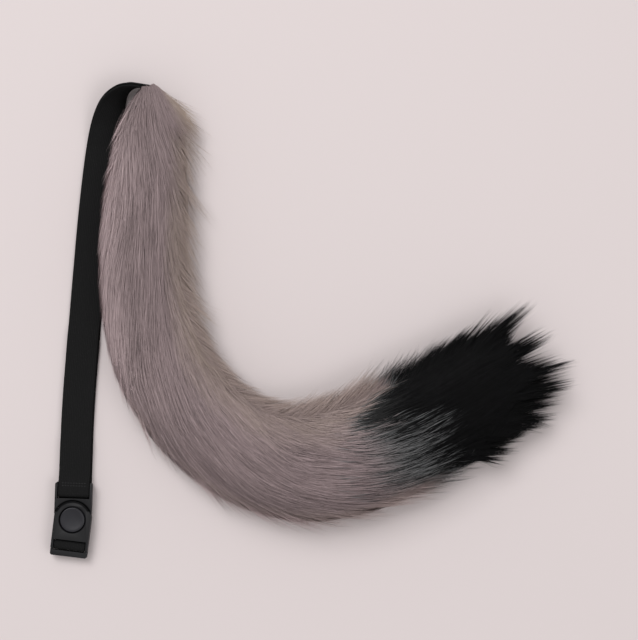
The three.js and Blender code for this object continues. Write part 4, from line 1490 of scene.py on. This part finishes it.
def rounded_copy(node, name, edge):
    """A copy of a moulded solid with its corners rounded off."""
    form = bmesh.new()
    form.from_mesh(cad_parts[node].data)
    bmesh.ops.remove_doubles(form, verts=form.verts, dist=1e-6)
    bmesh.ops.dissolve_limit(form, angle_limit=math.radians(1), verts=form.verts, edges=form.edges)
    piece = link_mesh(name, form)
    bevel = piece.modifiers.new("edges", "BEVEL")
    bevel.width = edge
    bevel.segments = 2
    bevel.limit_method = "ANGLE"
    bevel.angle_limit = math.radians(35)
    bevel.harden_normals = True
    return piece


class TAIL_OT_buckle(bpy.types.Operator):
    """Finish the buckle's moulded pieces"""

    bl_idname = "tail.buckle"
    bl_label = "Buckle"

    def execute(self, context):
        sizes = context.scene.strap_sizes
        plastic = moulded_finish("buckle_plastic", sizes.plastic, 0.5, 0.22)
        button = moulded_finish("button_plastic", sizes.button, 0.32, 0.36)
        for node, name, finish, body in (
            ("strap_plate", "strap_plate_moulding", plastic, BODY),
            ("latch_case", "latch_case_moulding", plastic, BODY),
            ("push_button", "push_button_moulding", button, BUTTON_BODY),
        ):
            piece = rounded_copy(node, name, sizes.edge_round)
            piece.data.materials.append(finish)
            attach(piece, body)
            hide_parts(node)
        return {"FINISHED"}


# The seams round the button and round the latch's end: each one's radius about the button, half its
# width, and how far towards the strap it begins, in metres.
# Painted shade darkens the plastic in these seams.
SEAMS = ((0.0103, 0.0008, -1.0), (0.0147, 0.0017, 0.0062))


def moulded_finish(name, base, roughness, shine):
    """Moulded plastic with a faint grain and dust in it, and painted shade, dull and dark, in its
    seams.
    """
    plastic = Finish(name)
    place = plastic.place()
    grain = plastic.noise(place, 1800.0, 2.0)
    cloud = plastic.noise(place, 90.0, 3.0)
    low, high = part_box("push_button")
    split = plastic.add("ShaderNodeSeparateXYZ", {}, [place])
    across = split.part("X") - (low[0] + high[0]) / 2
    up = split.part("Y") - (low[1] + high[1]) / 2
    distance = (across * across + up * up) ** 0.5
    seam_and_painted_shade = plastic.wire(0.0)
    for radius, half, start in SEAMS:
        away = distance - radius
        band = (2 - (away * away) ** 0.5 * (2 / half)).clamped()
        seam_and_painted_shade = seam_and_painted_shade + band * ((up - start) * 2000).clamped()
    plastic.set(
        Base_Color=plastic.mix(cloud, shade(0.8, base), shade(1.35, base)),
        Roughness=(cloud * 0.2 + (roughness - 0.1)).clamped(),
        Specular_IOR_Level=shine,
        Normal=plastic.bump(0.3, 0.0002, grain * 0.5 - seam_and_painted_shade),
    )
    # Painted shade in the seams.
    plastic.paint_shade((seam_and_painted_shade * 0.85).clamped(), shade(0.3, base))
    return plastic.material


# The lamps: place and size in metres, and power in watts. Then the sky's light, half the table's
# width in metres and the camera's sensor in millimetres.
LAMPS = (
    ("key_light", (-1.2, 1.6, 3.1), 2.0, 82.0),
    ("fill_light", (1.7, -0.9, 3.0), 1.8, 22.0),
)
SKY_COLOUR = (1.0, 0.98, 0.97, 1)
SKY_STRENGTH = 0.52
TABLE_HALF = 3.0
SENSOR_WIDTH = 36

# The point on the table under the camera, in metres.
VIEW_MIDDLE = (0.0048, 0.0004)


class TAIL_OT_stage(bpy.types.Operator):
    """Lay the table and set up the light and the camera"""

    bl_idname = "tail.stage"
    bl_label = "Table, light and camera"

    def execute(self, context):
        sizes = context.scene.studio_sizes
        form = bmesh.new()
        bmesh.ops.create_grid(form, x_segments=1, y_segments=1, size=TABLE_HALF)
        table = link_mesh("table", form, smooth=False)
        top = Finish("table_top")
        top.set(Base_Color=colour(sizes.table), Roughness=0.9, Specular_IOR_Level=0.1)
        table.data.materials.append(top.material)
        for name, place, size, power in LAMPS:
            lamp = bpy.data.lights.new(name, "AREA")
            lamp.shape = "SQUARE"
            lamp.size = size
            lamp.energy = power
            holder = bpy.data.objects.new(name, lamp)
            holder.location = place
            holder.rotation_euler = (-Vector(place)).to_track_quat("-Z", "Y").to_euler()
            context.collection.objects.link(holder)
        world = context.scene.world or bpy.data.worlds.new("studio")
        context.scene.world = world
        world.use_nodes = True
        sky = world.node_tree.nodes["Background"]
        sky.inputs["Color"].default_value = SKY_COLOUR
        sky.inputs["Strength"].default_value = SKY_STRENGTH
        context.scene.view_settings.view_transform = "Standard"
        lens = bpy.data.cameras.new("camera")
        lens.sensor_fit = "HORIZONTAL"
        lens.sensor_width = SENSOR_WIDTH
        lens.lens = SENSOR_WIDTH * sizes.camera_height / sizes.view_width
        camera = bpy.data.objects.new("camera", lens)
        camera.location = (*VIEW_MIDDLE, sizes.camera_height)
        context.collection.objects.link(camera)
        context.scene.camera = camera
        return {"FINISHED"}


class TAIL_PT_panel(bpy.types.Panel):
    """The tail's pieces and their sizes"""

    bl_idname = "TAIL_PT_panel"
    bl_label = "Costume Tail"
    bl_space_type = "VIEW_3D"
    bl_region_type = "UI"
    bl_category = "Costume Tail"

    def draw(self, context):
        layout = self.layout
        for operator in OPERATORS:
            layout.operator(operator.bl_idname)
        for group in (context.scene.tail_sizes, context.scene.strap_sizes, context.scene.studio_sizes):
            box = layout.box()
            for name in group.__annotations__:
                box.prop(group, name)


GROUPS = (("tail_sizes", TailSizes), ("strap_sizes", StrapSizes), ("studio_sizes", StudioSizes))
OPERATORS = (TAIL_OT_stage, TAIL_OT_core, TAIL_OT_pile, TAIL_OT_wisps, TAIL_OT_strap, TAIL_OT_buckle)


def register():
    for name, group in GROUPS:
        bpy.utils.register_class(group)
        setattr(bpy.types.Scene, name, bpy.props.PointerProperty(type=group))
    for operator in OPERATORS:
        bpy.utils.register_class(operator)
    bpy.utils.register_class(TAIL_PT_panel)


def unregister():
    bpy.utils.unregister_class(TAIL_PT_panel)
    for operator in reversed(OPERATORS):
        bpy.utils.unregister_class(operator)
    for name, group in reversed(GROUPS):
        delattr(bpy.types.Scene, name)
        bpy.utils.unregister_class(group)


def main():
    register()
    bpy.ops.tail.stage()
    bpy.ops.tail.core()
    bpy.ops.tail.pile()
    bpy.ops.tail.wisps()
    bpy.ops.tail.strap()
    bpy.ops.tail.buckle()


if __name__ == "__main__":
    main()
